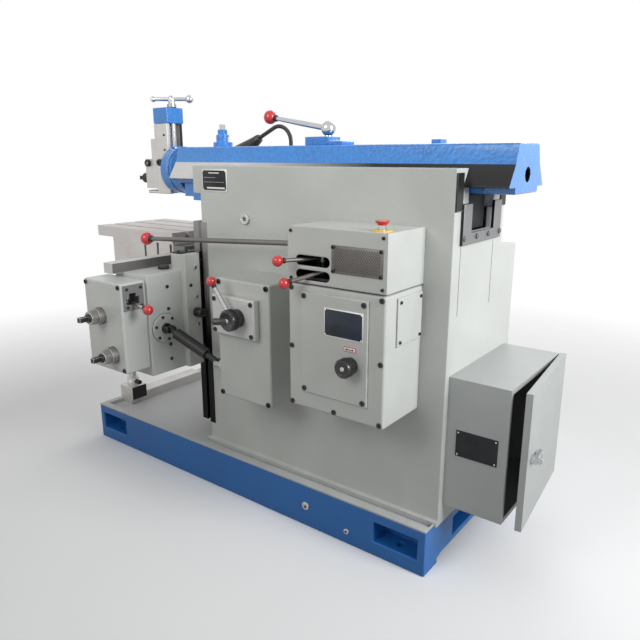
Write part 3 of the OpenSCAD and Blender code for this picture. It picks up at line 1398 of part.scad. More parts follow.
module pinion_shaft() color("dimgray") {
    turn = pinion_angle + 180 + 180 / pinion_teeth;
    spur_gear(pinion_x, pinion_z, bull_y0 - over, bull_y0 + bull_t + over, pinion_teeth, bull_module,
        turn);
    y_bar(pinion_x, train_y - train_t, bull_y0 + bull_t + 2 * over, pinion_z, shaft_r);
    spur_gear(pinion_x, pinion_z, train_y, train_y + train_t, train_teeth, train_module, train_angle);
}
module input_shaft() color("dimgray") {
    turn = train_angle + 180 + 180 / input_teeth;
    spur_gear(input_x, input_z, train_y - over, train_y + train_t + over, input_teeth, train_module,
        turn);
    y_bar(input_x, train_y - train_t, col_y2 - col_wall - over, input_z, input_r);
    y_bar(input_x, pulley_y, pulley_y + pulley_t, input_z, pulley_r);
}
module motor_pulley() color("dimgray") difference() {
    y_bar(motor_x, pulley_y, pulley_y + pulley_t, motor_z, motor_pulley_r);
    y_bar(motor_x, pulley_y - over, pulley_y + pulley_t + over, motor_z, motor_shaft_r + run);
}
motor_foot = 20;
motor_box = 70;
module motor() color("gray") {
    y_bar(motor_x, pulley_y - over - motor_l, pulley_y - over, motor_z, motor_r);
    y_bar(motor_x, pulley_y - 2 * over, pulley_y + pulley_t, motor_z, motor_shaft_r);
    block([motor_x - motor_r, pulley_y - motor_l, deck_z],
        [motor_x + motor_r, pulley_y - 2 * motor_foot, deck_z + motor_foot]);
    block([motor_x - motor_r / 2, pulley_y - motor_l, deck_z + motor_foot - over],
        [motor_x + motor_r / 2, pulley_y - 2 * motor_foot, motor_z]);
    block([motor_x, pulley_y - motor_l / 2 - motor_box / 2, motor_z], [motor_x + motor_r + motor_foot,
        pulley_y - motor_l / 2 + motor_box / 2, motor_z + motor_box / 2]);
}
// Belt loop round the two pulleys: arcs joined by the tangents
belt_steps = 24;
belt_shares = [0.08, 0.54];
belt_w_share = 0.38;
function belt_points(extra) =
    let (d = [input_x - motor_x, input_z - motor_z], l = norm(d), a = atan2(d.y, d.x),
         r1 = motor_pulley_r + extra, r2 = pulley_r + extra, b = acos((r1 - r2) / l))
    concat([for (k = [0:belt_steps]) let (t = a + b + k * (360 - 2 * b) / belt_steps) [motor_x,
        motor_z] + r1 * [cos(t), sin(t)]],
        [for (k = [0:belt_steps]) let (t = a - b + k * 2 * b / belt_steps) [input_x,
            input_z] + r2 * [cos(t), sin(t)]]);
module drive_belts() color("black") for (k = [0, 1])
    along_y(pulley_y + belt_shares[k] * pulley_t,
        pulley_y + (belt_shares[k] + belt_w_share) * pulley_t) difference() {
        polygon(belt_points(belt_t));
        polygon(belt_points(2 * gap));
    }

// Work lamp on the belt side's shoulder
lamp_x_offset = 90;
lamp_x = col_x0 + lamp_x_offset;
lamp_y_offset = 62;
lamp_y = col_y1 + lamp_y_offset;
lamp_r = 8;
lamp_bend = 65;
lamp_sweep = 115;
lamp_rise = 348;
lamp_reach = 90;
lamp_base_r = 32;
lamp_base_h = 26;
cone_l = 130;
cone_r0 = 18;
cone_r1 = 44;
cone_turn = 6;
bend_end = [lamp_x - lamp_bend + lamp_bend * cos(lamp_sweep), lamp_y,
    shoulder_z + lamp_rise + lamp_bend * sin(lamp_sweep)];
lamp_dir = [-sin(lamp_sweep), 0, cos(lamp_sweep)];
lamp_neck = bend_end + lamp_reach * lamp_dir;
module lamp_arm() color("black") {
    z_bar(lamp_x, lamp_y, shoulder_z, shoulder_z + lamp_base_h, lamp_base_r);
    z_bar(lamp_x, lamp_y, shoulder_z, shoulder_z + lamp_rise - run, lamp_r);
    translate([lamp_x - lamp_bend, lamp_y, shoulder_z + lamp_rise]) rotate([90, 0, 0])
        rotate_extrude(angle = lamp_sweep) translate([lamp_bend, 0]) circle(r = lamp_r);
    bar(bend_end + run * lamp_dir, lamp_neck - (lamp_r * sin(cone_turn) + run) * lamp_dir, lamp_r);
}
module lamp_head() color("black") translate(lamp_neck) rotate([0, -90 - (lamp_sweep - 90) - cone_turn,
    0]) rotate_extrude()
    polygon([[0, 0], [cone_r0, 0], [cone_r1, cone_l], [cone_r1 - lamp_r / 2, cone_l],
        [cone_r0 - lamp_r / 2, lamp_r], [0, lamp_r]]);

base();
base_tray();
plugs();
column();
column_ways();
ram_gib();
rear_way_frame();
gearbox_case();
gearbox_covers();
control_box();
feed_box();
feed_plate();
case_screws();
info_plates();
cabinet();
cabinet_panel();
cabinet_door();
door_handle();
ram();
ram_top_fittings();
ram_position_shaft();
ram_lever();
ram_brackets();
swivel_head();
tool_slide();
slide_bracket();
tool_feed_handle();
clapper_box();
clapper();
tool_post();
cross_rail();
rail_gearbox();
rail_fittings();
gate_lever();
cross_feed_screw();
elevating_shaft();
elevating_screw();
saddle();
table();
support_guide();
support_foot();
feed_sleeve();
feed_shaft();
clutch_lever();
shift_lever_upper();
shift_lever_lower();
feed_lever();
stroke_knob();
estop_button();
rocker_arm();
crank_block();
rocker_pivot();
bull_gear();
pinion_shaft();
input_shaft();
motor_pulley();
motor();
drive_belts();
lamp_arm();
lamp_head();
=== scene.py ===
import json
import math
import bmesh
import bpy
from mathutils import Euler, Matrix, Vector

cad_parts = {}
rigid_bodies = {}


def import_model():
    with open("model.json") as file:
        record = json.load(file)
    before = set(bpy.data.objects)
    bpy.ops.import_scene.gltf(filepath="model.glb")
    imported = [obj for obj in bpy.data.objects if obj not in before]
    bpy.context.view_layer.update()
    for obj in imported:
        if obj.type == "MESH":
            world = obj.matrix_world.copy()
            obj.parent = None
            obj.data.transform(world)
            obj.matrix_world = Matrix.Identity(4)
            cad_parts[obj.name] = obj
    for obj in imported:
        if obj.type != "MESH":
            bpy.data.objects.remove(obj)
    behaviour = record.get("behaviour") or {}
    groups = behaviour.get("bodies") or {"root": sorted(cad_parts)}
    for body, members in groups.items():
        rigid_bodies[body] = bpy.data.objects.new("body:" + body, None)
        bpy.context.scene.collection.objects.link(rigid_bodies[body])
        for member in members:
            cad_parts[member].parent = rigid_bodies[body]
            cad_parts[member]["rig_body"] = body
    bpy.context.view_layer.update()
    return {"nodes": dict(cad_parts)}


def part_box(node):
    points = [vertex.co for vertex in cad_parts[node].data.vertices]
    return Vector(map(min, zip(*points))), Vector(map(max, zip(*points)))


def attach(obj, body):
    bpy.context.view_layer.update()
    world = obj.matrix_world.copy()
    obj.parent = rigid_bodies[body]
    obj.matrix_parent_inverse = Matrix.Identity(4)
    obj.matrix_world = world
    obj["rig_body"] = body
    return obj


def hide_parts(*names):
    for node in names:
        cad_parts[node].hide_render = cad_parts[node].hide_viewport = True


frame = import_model()
nodes = frame["nodes"]
scene = bpy.context.scene
scene.view_settings.view_transform = "Standard"

# Studio: a pale paper floor that fades out under the machine, a white surround and three soft
# lamps. The camera stands at eye height at the near rear corner, as in the photograph.
camera = bpy.data.objects.new("camera", bpy.data.cameras.new("camera"))
scene.collection.objects.link(camera)
look_down, look_round = 14.81, 37.21
camera.location = (1.6264, -1.8728, 1.300)
camera.rotation_euler = (math.radians(90 - look_down), 0, math.radians(look_round))
camera.data.sensor_width = 36
camera.data.lens = 34.65
camera.data.clip_start = 0.05
scene.camera = camera

def lamp(name, place, aim, size, power, spread=180, colour=(1, 1, 1)):
    light = bpy.data.lights.new(name, "AREA")
    light.shape, light.size, light.energy = "DISK", size, power
    light.spread, light.color = math.radians(spread), colour
    holder = bpy.data.objects.new(name, light)
    scene.collection.objects.link(holder)
    holder.location = place
    holder.rotation_euler = (Vector(aim) - Vector(place)).to_track_quat("-Z", "Y").to_euler()

lamp("key_lamp", (4.2, -0.2, 2.5), (0.5, 0, 1.15), 2.0, 42, 90, (0.97, 0.985, 1))
lamp("fill_lamp", (-0.2, -3.0, 2.7), (0.0, 0, 1.75), 1.8, 9.5, 80, (1, 1, 0.96))
lamp("back_lamp", (-0.6, 3.4, 3.4), (0, 0, 0.9), 2.4, 40)
world = bpy.data.worlds.new("surround")
scene.world = world
world.use_nodes = True
sky = world.node_tree.nodes
air = sky["Background"]
rays = sky.new("ShaderNodeLightPath")
either, seen = sky.new("ShaderNodeMath"), sky.new("ShaderNodeMath")
either.operation = seen.operation = "MAXIMUM"
for out, into in (
        (rays.outputs["Is Camera Ray"], either.inputs[0]), (rays.outputs["Is Glossy Ray"], either.inputs[1]),
        (either.outputs[0], seen.inputs[0]), (rays.outputs["Is Transmission Ray"], seen.inputs[1])):
    world.node_tree.links.new(out, into)
lighting_level, seen_level = 0.42, 1.0
level = sky.new("ShaderNodeMapRange")
level.inputs["To Min"].default_value = lighting_level
level.inputs["To Max"].default_value = seen_level
world.node_tree.links.new(seen.outputs[0], level.inputs["Value"])
air.inputs["Color"].default_value = (1, 1, 1, 1)
world.node_tree.links.new(level.outputs["Result"], air.inputs["Strength"])


class Tone:
    """A number or colour that varies over a finish, so that sums can be written plainly."""
    def __init__(self, finish, socket):
        self.finish, self.socket = finish, socket

    def sum(self, operation, first, second):
        return self.finish.add("ShaderNodeMath", {"operation": operation}, {0: first, 1: second})

    def __add__(self, other):
        return self.sum("ADD", self, other)

    def __rsub__(self, other):
        return self.sum("SUBTRACT", other, self)

    def __mul__(self, other):
        return self.sum("MULTIPLY", self, other)

    __radd__, __rmul__ = __add__, __mul__

    def between(self, low, high):
        return self.finish.add("ShaderNodeMapRange", {"clamp": True}, {0: self, 1: low, 2: high}, "Result")


class Finish:
    """A procedural material on Object coordinates, with edges rounded by a bevel of the normal."""
    def __init__(self, name, metallic=0.0, **fixed):
        self.material = bpy.data.materials.new(name)
        self.material.use_nodes = True
        self.tree = self.material.node_tree
        self.shader = self.tree.nodes["Principled BSDF"]
        self.shader.inputs["Metallic"].default_value = metallic
        for socket, value in fixed.items():
            self.shader.inputs[socket.replace("_", " ")].default_value = value
        self.place = self.add("ShaderNodeTexCoord", out="Object")

    def add(self, kind, settings=None, sockets=None, out=0):
        node = self.tree.nodes.new(kind)
        for key, value in (settings or {}).items():
            setattr(node, key, value)
        for key, value in (sockets or {}).items():
            if isinstance(value, Tone):
                self.tree.links.new(value.socket, node.inputs[key])
            else:
                node.inputs[key].default_value = value
        return Tone(self, node.outputs[out])

    def axis(self, letter):
        return self.add("ShaderNodeSeparateXYZ", sockets={0: self.place}, out=letter)

    def noise(self, scale, detail=2.0, stretch=None, rough=0.5):
        place = self.place
        if stretch:
            place = self.add("ShaderNodeMapping", sockets={"Vector": place, "Scale": stretch})
        return self.add("ShaderNodeTexNoise", sockets={"Vector": place, "Scale": scale, "Detail": detail,
            "Roughness": rough}, out="Fac")

    def cells(self, scale, feature="F1"):
        return self.add("ShaderNodeTexVoronoi", {"feature": feature},
            {"Vector": self.place, "Scale": scale}, "Distance")

    def mix(self, share, first, second):
        pair = [c if isinstance(c, Tone) else (*c, 1) for c in (first, second)]
        return self.add("ShaderNodeMix", {"data_type": "RGBA"}, {0: share, 6: pair[0], 7: pair[1]}, 2)

    def edges(self, radius):
        """The rounded normal, and how near an edge the surface is."""
        soft = self.add("ShaderNodeBevel", {"samples": 6}, {"Radius": radius})
        flat = self.add("ShaderNodeNewGeometry", out="Normal")
        bend = self.add("ShaderNodeVectorMath", {"operation": "DOT_PRODUCT"}, {0: soft, 1: flat}, "Value")
        return soft, (1 - bend).between(0.01, 0.25)

    def done(self, colour=None, rough=None, height=None, depth=0.001, normal=None, metal=None, coat=None):
        links = {"Base Color": colour, "Roughness": rough, "Metallic": metal, "Coat Weight": coat}
        if height is not None:
            sockets = {"Height": height, "Distance": depth}
            if normal is not None:
                sockets["Normal"] = normal
            normal = self.add("ShaderNodeBump", sockets=sockets)
        links["Normal"] = normal
        for socket, value in links.items():
            if isinstance(value, Tone):
                self.tree.links.new(value.socket, self.shader.inputs[socket])
            elif value is not None:
                self.shader.inputs[socket].default_value = (*value, 1) if socket == "Base Color" else value
        return self.material


def shade(colour, factor):
    return tuple(min(1.0, c * factor) for c in colour)

fade_from, fade_to, floor_radius, bounced_grey = 1.6, 3.6, 9.0, 0.10
floor_finish = Finish("floor_paper", Specular_IOR_Level=0.2)
floor_paper = floor_finish.done((0.93, 0.93, 0.93), 0.75 + 0.1 * floor_finish.noise(6.0))
away = floor_finish.add("ShaderNodeVectorMath", {"operation": "LENGTH"}, {0: floor_finish.place}, "Value")
paper_nodes = floor_finish.tree.nodes
fade, clear = paper_nodes.new("ShaderNodeMixShader"), paper_nodes.new("ShaderNodeBsdfTransparent")
bounce, dim = paper_nodes.new("ShaderNodeMixShader"), paper_nodes.new("ShaderNodeBsdfDiffuse")
dim.inputs["Color"].default_value = (bounced_grey, bounced_grey, bounced_grey, 1)
ray = paper_nodes.new("ShaderNodeLightPath").outputs
looked_at = (Tone(floor_finish, ray["Is Camera Ray"]) + Tone(floor_finish, ray["Is Glossy Ray"])).socket
for out, into in (
        (looked_at, bounce.inputs[0]), (dim.outputs[0], bounce.inputs[1]),
        (floor_finish.shader.outputs[0], bounce.inputs[2]),
        (away.between(fade_from, fade_to).socket, fade.inputs[0]), (bounce.outputs[0], fade.inputs[1]),
        (clear.outputs[0], fade.inputs[2]),
        (fade.outputs[0], paper_nodes["Material Output"].inputs["Surface"])):
    floor_finish.tree.links.new(out, into)

def mesh_of(bm, name, crease=None):
    """Makes drawn faces a mesh, which stays sharp where they meet at more than the crease."""
    mesh = bpy.data.meshes.new(name)
    bm.to_mesh(mesh)
    bm.free()
    if crease:
        mesh.set_sharp_from_angle(angle=math.radians(crease))
    return mesh

bm = bmesh.new()
bmesh.ops.create_circle(bm, cap_ends=True, segments=96, radius=floor_radius)
floor = bpy.data.objects.new("floor", mesh_of(bm, "floor"))
scene.collection.objects.link(floor)
floor.data.materials.append(floor_paper)

# Base: one hollow casting in satin blue, with a tunnel under it for lifting forks and a
# pocket at each corner for the foundation bolt. Its upper edge carries the tray's rim.
def enamel(name, colour, radius, gloss=0.32, peel=0.25, scuff=None, coat=0.25):
    """Paint on a casting: slight mottling, orange peel, and edges rubbed lighter."""
    paint = Finish(name, Coat_Weight=coat, Coat_Roughness=0.12)
    soft, edge = paint.edges(radius)
    cloud = paint.noise(5.0, 4.0).between(0.3, 0.7)
    fine = paint.noise(60.0, 3.0)
    tint = paint.mix(cloud, shade(colour, 0.93), shade(colour, 1.05))
    rub = (edge * paint.noise(38.0, 4.0).between(0.42, 0.6)) * 0.5
    tint = paint.mix(rub, tint, scuff or shade(colour, 1.35))
    skin = paint.noise(190.0, 2.0) + paint.noise(26.0, 3.0) * 2.0
    return paint.done(tint, gloss + 0.16 * fine + 0.1 * cloud, skin, 0.0009 * peel, soft)

def dress(node, material):
    """Gives a CAD node its finish."""
    mesh = nodes[node].data
    mesh.materials.clear()
    mesh.materials.append(material)

def piece(name, mesh, body, material, stands_for=()):
    """Places a finished mesh on a body."""
    made = bpy.data.objects.new(name, mesh)
    scene.collection.objects.link(made)
    mesh.materials.clear()
    mesh.materials.append(material)
    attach(made, body)
    if stands_for:
        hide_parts(*stands_for)
    return made

def body_of(node):
    """The body that a CAD node rides on."""
    return nodes[node]["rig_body"]

cast_crease = 32

def cast(node, material, radius, shortest=0.03):
    """Stands for a CAD node with its long outer edges rounded as a casting's are."""
    bm = bmesh.new()
    bm.from_mesh(nodes[node].data)
    bmesh.ops.remove_doubles(bm, verts=bm.verts, dist=1e-6)
    bmesh.ops.dissolve_limit(bm, angle_limit=math.radians(0.5), verts=bm.verts, edges=bm.edges)
    sharp = [e for e in bm.edges if e.is_manifold and e.is_convex and e.calc_face_angle() > 0.9
        and e.calc_length() > shortest]
    bmesh.ops.bevel(bm, geom=sharp, offset=radius, segments=3, profile=0.5, affect="EDGES", clamp_overlap=True)
    for face in bm.faces:
        face.smooth = True
    mesh = mesh_of(bm, node + "_cast", cast_crease)
    made = piece(node + "_cast", mesh, body_of(node), material, (node,))
    made.modifiers.new("even_shading", "WEIGHTED_NORMAL").keep_sharp = True
    return made

base_blue = enamel("base_blue_enamel", (0.012, 0.145, 0.46), 0.004, 0.38, 0.5, (0.10, 0.28, 0.60))
cast("base", base_blue, 0.006)

# Tray: sheet steel pressed into the base, with a thin rim folded over its edge, in a
# speckled grey paint that is scratched by chips.
speckle = Finish("speckled_grey_paint")
soft = speckle.edges(0.003)[0]
grit = speckle.cells(420.0).between(0.18, 0.42)
stain = speckle.noise(7.0, 5.0).between(0.35, 0.68)
ground = speckle.mix(stain, (0.36, 0.375, 0.38), (0.49, 0.50, 0.50))
ground = speckle.mix(grit * 0.55, ground, (0.66, 0.67, 0.67))
dots = 1 - speckle.cells(150.0).between(0.10, 0.2)
ground = speckle.mix(dots * speckle.noise(30.0).between(0.5, 0.6) * 0.75, ground, (0.22, 0.22, 0.21))
tray_grey = speckle.done(ground, 0.42 + 0.3 * stain, grit, 0.0006, soft)
dress("base_tray", tray_grey)

# Column: a tall hollow casting in warm light grey enamel, filled and rubbed smooth, with
# rounded corners and the ram's ways planed along its top.
grey_paint = (0.55, 0.565, 0.54)
grey_enamel = enamel("light_grey_enamel", grey_paint, 0.006, 0.30, 0.4, (0.70, 0.71, 0.68))
cast("column", grey_enamel, 0.009)

def bare_iron(name, colour, radius, rough=0.38, lay=(1.0, 1.0, 1.0), cut=240.0, depth=0.0002,
    stain=(0.30, 0.22, 0.16), metallic=1.0, oiled_and_shaded=None):
    """Bare metal with the fine lines that its cutter left, and a little stain; if asked, near black below a
    given height, for oil and for painted shade.
    """
    iron = Finish(name, metallic)
    soft, edge = iron.edges(radius)
    lines = iron.noise(cut, 3.0, lay, 0.6)
    cloud = iron.noise(9.0, 5.0).between(0.35, 0.7)
    tint = iron.mix(lines, shade(colour, 0.82), shade(colour, 1.12))
    tint = iron.mix(cloud * 0.22, tint, stain)
    tint = iron.mix(edge * 0.4, tint, shade(colour, 1.4))
    # Near black below the given height: oil, together with painted shade under the rail.
    if oiled_and_shaded:
        tint = iron.mix(1 - iron.axis("Z").between(*oiled_and_shaded), tint, (0.014, 0.014, 0.015))
    return iron.done(tint, rough + 0.22 * lines + 0.12 * cloud, lines, depth, soft)

way_iron = bare_iron("scraped_way_iron", (0.20, 0.20, 0.20), 0.002, 0.34, (1.0, 1.0, 0.12))
# The column's ways turn near black towards the bottom, for oil and for painted shade below the rail.
oiled_and_shaded_iron = bare_iron("oiled_and_shaded_way_iron", (0.30, 0.30, 0.30), 0.002, 0.34, (1.0, 1.0, 0.12), oiled_and_shaded=(0.60, 0.82))
dress("column_ways", oiled_and_shaded_iron)
dress("ram_gib", way_iron)
black_oxide = Finish("black_oxide", metallic=0.6)
soft, edge = black_oxide.edges(0.0025)
haze = black_oxide.noise(40.0, 4.0)
tint = black_oxide.mix(edge * 0.6 + haze * 0.15, (0.018, 0.018, 0.019), (0.16, 0.16, 0.16))
black_oxide = black_oxide.done(tint, 0.30 + 0.25 * haze, black_oxide.noise(300.0), 0.00015, soft)
frame_steel = bare_iron("frame_steel", (0.30, 0.31, 0.32), 0.002, 0.36)

def two_tone(made, other, chosen):
    """Gives the faces of a piece that are chosen, by middle and direction, a second finish."""
    made.data.materials.append(other)
    for face in made.data.polygons:
        if chosen(face.center, face.normal):
            face.material_index = len(made.data.materials) - 1
    return made

two_tone(cast("rear_way_frame", black_oxide, 0.002), frame_steel,
    lambda at, facing: at.z < 1.18 and facing.x > 0.5)
steel = bare_iron("turned_steel", (0.56, 0.56, 0.55), 0.0015, 0.20, cut=420.0, depth=0.00008)
dress("plugs", steel)

# Column fittings: an oil sight with a bright rim, plugs in the base, the stop at the top of the ways, and at
# the rear two thin slits and a near black sheet behind the black frame's window, which is painted shade for the
# dark inside of the column.
upward, to_near, to_far, to_rear = (0, 0, 1), (0, -1, 0), (0, 1, 0), (1, 0, 0)
turned_crease = 40

def ring_of(bm, radius, height, sides):
    """Points round Z at one height, or a single point on Z itself."""
    if radius < 1e-6:
        return [bm.verts.new((0, 0, height))]
    angles = [2 * math.pi * k / sides for k in range(sides)]
    return [bm.verts.new((radius * math.cos(a), radius * math.sin(a), height)) for a in angles]

def turned(start, along, profile, sides=40):
    """A solid of revolution: profile gives (distance along, radius) from one end to the other.
    A ring's profile ends where it starts; any other is closed to the axis at both ends."""
    if profile[0] != profile[-1]:
        profile = [(d, 0) for d, r in profile[:1] if r > 1e-6] + profile
        profile = profile + [(d, 0) for d, r in profile[-1:] if r > 1e-6]
    turn = Vector(along).to_track_quat("Z", "Y").to_matrix().to_4x4()
    bm = bmesh.new()
    rings = [ring_of(bm, radius, distance, sides) for distance, radius in profile]
    for low, high in zip(rings, rings[1:]):
        for k in range(sides):
            j = (k + 1) % sides
            corners = [low[k % len(low)], low[j % len(low)], high[j % len(high)], high[k % len(high)]]
            corners = [v for i, v in enumerate(corners) if v not in corners[:i]]
            if len(corners) > 2:
                bm.faces.new(corners)
    for end in (rings[0], rings[-1]):
        if len(end) > 1:
            bm.faces.new(end)
    bmesh.ops.recalc_face_normals(bm, faces=bm.faces)
    bm.transform(Matrix.Translation(start) @ turn)
    for face in bm.faces:
        face.smooth = True
    return mesh_of(bm, "turned", turned_crease)

def slab(low, high, radius):
    """A block between two corners with its edges rounded."""
    bm = bmesh.new()
    low, high = Vector(low), Vector(high)
    place = Matrix.Translation((low + high) / 2) @ Matrix.Diagonal((*(high - low), 1))
    bmesh.ops.create_cube(bm, size=1.0, matrix=place)
    if radius:
        bmesh.ops.bevel(bm, geom=bm.edges[:], offset=radius, segments=2, profile=0.5, affect="EDGES")
    return mesh_of(bm, "slab", cast_crease)

repeat_tree = bpy.data.node_groups.new("repeated_fitting", "GeometryNodeTree")
ports = repeat_tree.interface
ports.new_socket("Places", in_out="INPUT", socket_type="NodeSocketGeometry")
shape_port = ports.new_socket("Shape", in_out="INPUT", socket_type="NodeSocketObject")
ports.new_socket("Fittings", in_out="OUTPUT", socket_type="NodeSocketGeometry")
step = repeat_tree.nodes
given, shown = step.new("NodeGroupInput"), step.new("NodeGroupOutput")
shape, turns = step.new("GeometryNodeObjectInfo"), step.new("GeometryNodeInputNamedAttribute")
turns.data_type = "FLOAT_VECTOR"
turns.inputs["Name"].default_value = "turn"
spread, whole = step.new("GeometryNodeInstanceOnPoints"), step.new("GeometryNodeRealizeInstances")
for out, into in (
        (given.outputs["Places"], spread.inputs["Points"]), (given.outputs["Shape"], shape.inputs["Object"]),
        (shape.outputs["Geometry"], spread.inputs["Instance"]),
        (turns.outputs["Attribute"], spread.inputs["Rotation"]),
        (spread.outputs["Instances"], whole.inputs["Geometry"]),
        (whole.outputs["Geometry"], shown.inputs["Fittings"])):
    repeat_tree.links.new(out, into)

def repeated(name, shape_mesh, places, body, material, stands_for=()):
    """One fitting at many places, each a point and the way that the fitting's Z faces there."""
    model = bpy.data.objects.new("model", shape_mesh)
    scene.collection.objects.link(model)
    points = bpy.data.meshes.new(name)
    points.from_pydata([p for p, d in places], [], [])
    turn = points.attributes.new("turn", "FLOAT_VECTOR", "POINT")
    for k, (p, d) in enumerate(places):
        turn.data[k].vector = d if isinstance(d, Euler) else Vector(d).to_track_quat("Z", "Y").to_euler()
    holder = bpy.data.objects.new(name, points)
    scene.collection.objects.link(holder)
    maker = holder.modifiers.new("fittings", "NODES")
    maker.node_group = repeat_tree
    maker[shape_port.identifier] = model
    graph = bpy.context.evaluated_depsgraph_get()
    made = bpy.data.meshes.new_from_object(holder.evaluated_get(graph), depsgraph=graph)
    bpy.data.objects.remove(holder)
    bpy.data.objects.remove(model)
    made.set_sharp_from_angle(angle=math.radians(turned_crease))
    return piece(name, made, body, material, stands_for)

def socket_head(radius, height, across=0.55, sides=20):
    """A cap screw's head with a chamfer and a hexagon recess, standing on Z = 0."""
    bm = bmesh.new()
    chamfer = ((radius, 0), (radius, height * 0.86), (radius * 0.9, height))
    rings = [ring_of(bm, r, z, sides) for r, z in chamfer]
    for low, high in zip(rings, rings[1:]):
        for k in range(sides):
            bm.faces.new((low[k], low[(k + 1) % sides], high[(k + 1) % sides], high[k]))
    hexes = [ring_of(bm, radius * across, z, 6) for z in (height, height * 0.25)]
    top = [bm.edges.get((rings[-1][k], rings[-1][(k + 1) % sides])) for k in range(sides)]
    rim = [bm.edges.new((hexes[0][k], hexes[0][(k + 1) % 6])) for k in range(6)]
    bmesh.ops.bridge_loops(bm, edges=top + rim)
    for k in range(6):
        bm.faces.new((hexes[0][k], hexes[0][(k + 1) % 6], hexes[1][(k + 1) % 6], hexes[1][k]))
    bm.faces.new(hexes[1])
    bm.faces.new(rings[0][::-1])
    bmesh.ops.recalc_face_normals(bm, faces=bm.faces)
    return mesh_of(bm, "socket_head")

def screws(name, radius, height, points, facing, body="machine", slot="black_oxide", across=0.55, sides=20):
    """Socket heads of one size that face one way, in black oxide or in bright steel."""
    repeated(name, socket_head(radius, height, across, sides), [(point, facing) for point in points],
        body, steel if slot == "steel" else black_oxide)

def clouded(name, grain, dark, light, rough, spread, depth=None, detail=3.0, **fixed):
    """A moulded, printed or glassy finish that is clouded between two colours."""
    made = Finish(name, **fixed)
    cloud = made.noise(grain, detail)
    return made.done(made.mix(cloud, dark, light), rough + spread * cloud, cloud if depth else None, depth)

chrome = Finish("polished_chrome", metallic=1.0)
soft = chrome.edges(0.0012)[0]
wipe = chrome.noise(30.0, 4.0)
tint = chrome.mix(wipe, (0.50, 0.51, 0.53), (0.60, 0.60, 0.61))
chrome = chrome.done(tint, 0.06 + 0.10 * wipe, chrome.noise(260.0), 0.00003, soft)
sight_x, sight_z = 0.063, 1.085
rim = [(0, 0.0195), (0.0075, 0.0195), (0.0090, 0.018), (0.0090, 0.0135), (0.005, 0.0128)]
piece("oil_sight_rim", turned((sight_x, -0.255, sight_z), to_near, rim), "machine", chrome)
oil_glass = clouded("oil_sight_glass", 60.0, (0.030, 0.024, 0.014), (0.10, 0.08, 0.05), 0.08, 0.08,
    Coat_Weight=0.8, Coat_Roughness=0.03)
lens = [(0, 0.0127), (0.0012, 0.0112), (0.0016, 0.006), (0.0017, 0)]
piece("oil_sight_glass", turned((sight_x, -0.2602, sight_z), to_near, lens, 28), "machine", oil_glass)
base_side = -0.3250
screws("base_plugs", 0.0152, 0.0062, [(0.388, base_side, 0.083)], to_near, "machine", "steel", 0.5, 32)
screws("base_vent_plug", 0.0102, 0.0062, [(0.567, base_side, 0.050)], to_near, "machine", "steel", 0.5, 28)
slit_half = 0.0011
for name, y in (("near", -0.202), ("far", 0.040)):
    slit = slab((0.8718, y - slit_half, 0.838), (0.8723, y + slit_half, 1.044), 0.0)
    piece("rear_slit_" + name, slit, "machine", black_oxide)
ways_top = max(v.co.z for v in nodes["column_ways"].data.vertices)
stop_bar = slab((-0.2000, -0.2449, 0.975), (-0.1722, -0.2312, ways_top), 0.001)
piece("way_stop", stop_bar, "machine", way_iron)
# Painted shade: a near black sheet just inside the rear window, so that the column's inside shows dark.
window_shade_finish = clouded("window_painted_shade", 40.0, (0.008, 0.009, 0.010), (0.025, 0.026, 0.028), 0.6, 0.2,
    depth=0.0003, detail=4.0)
shade_sheet = slab((0.8440, -0.152, 1.088), (0.8470, 0.010, 1.190), 0.0005)
piece("rear_window_flap", shade_sheet, "machine", window_shade_finish)

# Motor hatch: a sheet cover with pressed louvres on the column's far side, held by screws,
# so that the belts can be reached.
def joined(*meshes):
    """Several meshes as one."""
    bm = bmesh.new()
    for mesh in meshes:
        bm.from_mesh(mesh)
    return mesh_of(bm, "joined")

hatch_face = 0.2545
piece("motor_hatch", slab((0.110, 0.2500, 0.300), (0.640, hatch_face, 0.760), 0.0015), "machine",
    grey_enamel)
slat = joined(slab((-0.060, -0.006, 0.0), (0.060, 0.006, 0.0022), 0.001),
    slab((-0.060, -0.006, 0.0), (0.060, -0.003, 0.0050), 0.001))
rows = [((x, 0.2544, 0.400 + 0.028 * k), to_far) for x in (0.275, 0.475) for k in range(7)]
repeated("motor_hatch_louvres", slat, rows, "machine", grey_enamel)
edge_points = [(x, z) for x in (0.124, 0.375, 0.626) for z in (0.314, 0.746)] + [(x, 0.530)
    for x in (0.124, 0.626)]
screws("motor_hatch_screws", 0.008, 0.004, [(x, hatch_face, z) for x, z in edge_points], to_far)

# Drive: inside the column the crank gear swings the rocker arm, which is iron with a bronze
# block; a grey motor turns it by rubber belts.
bronze = bare_iron("bearing_bronze", (0.55, 0.36, 0.14), 0.002, 0.25)
dress("crank_block", bronze)
for node in ("rocker_arm", "rocker_pivot", "motor_pulley"):
    dress(node, way_iron)
for node in ("bull_gear", "pinion_shaft", "input_shaft"):
    dress(node, steel)
dress("motor", enamel("motor_grey_enamel", (0.26, 0.28, 0.30), 0.003))
dress("drive_belts", clouded("belt_rubber", 50.0, (0.012, 0.012, 0.012), (0.05, 0.05, 0.048), 0.6, 0.2,
    depth=0.0003, detail=4.0))

# Gearbox, control box and feed box: cast boxes bolted to the column's near side, with
# flanged covers. The paint runs over the joints and the corners are well rounded.
cast("gearbox_case", grey_enamel, 0.010)
cast("gearbox_covers", grey_enamel, 0.007)
# The faces inside the control box and its lever slots are black: painted shade in the recess.
two_tone(cast("control_box", grey_enamel, 0.008, 0.06), black_oxide,
    lambda at, facing: at.y > -0.4635 and 0.444 < at.x < 0.776 and 0.935 < at.z < 1.098 and at.y < -0.262)
cast("feed_box", grey_enamel, 0.010)
pale_plate = enamel("pale_cover_enamel", (0.64, 0.65, 0.63), 0.003, 0.26, 0.3)
cast("feed_plate", pale_plate, 0.006)

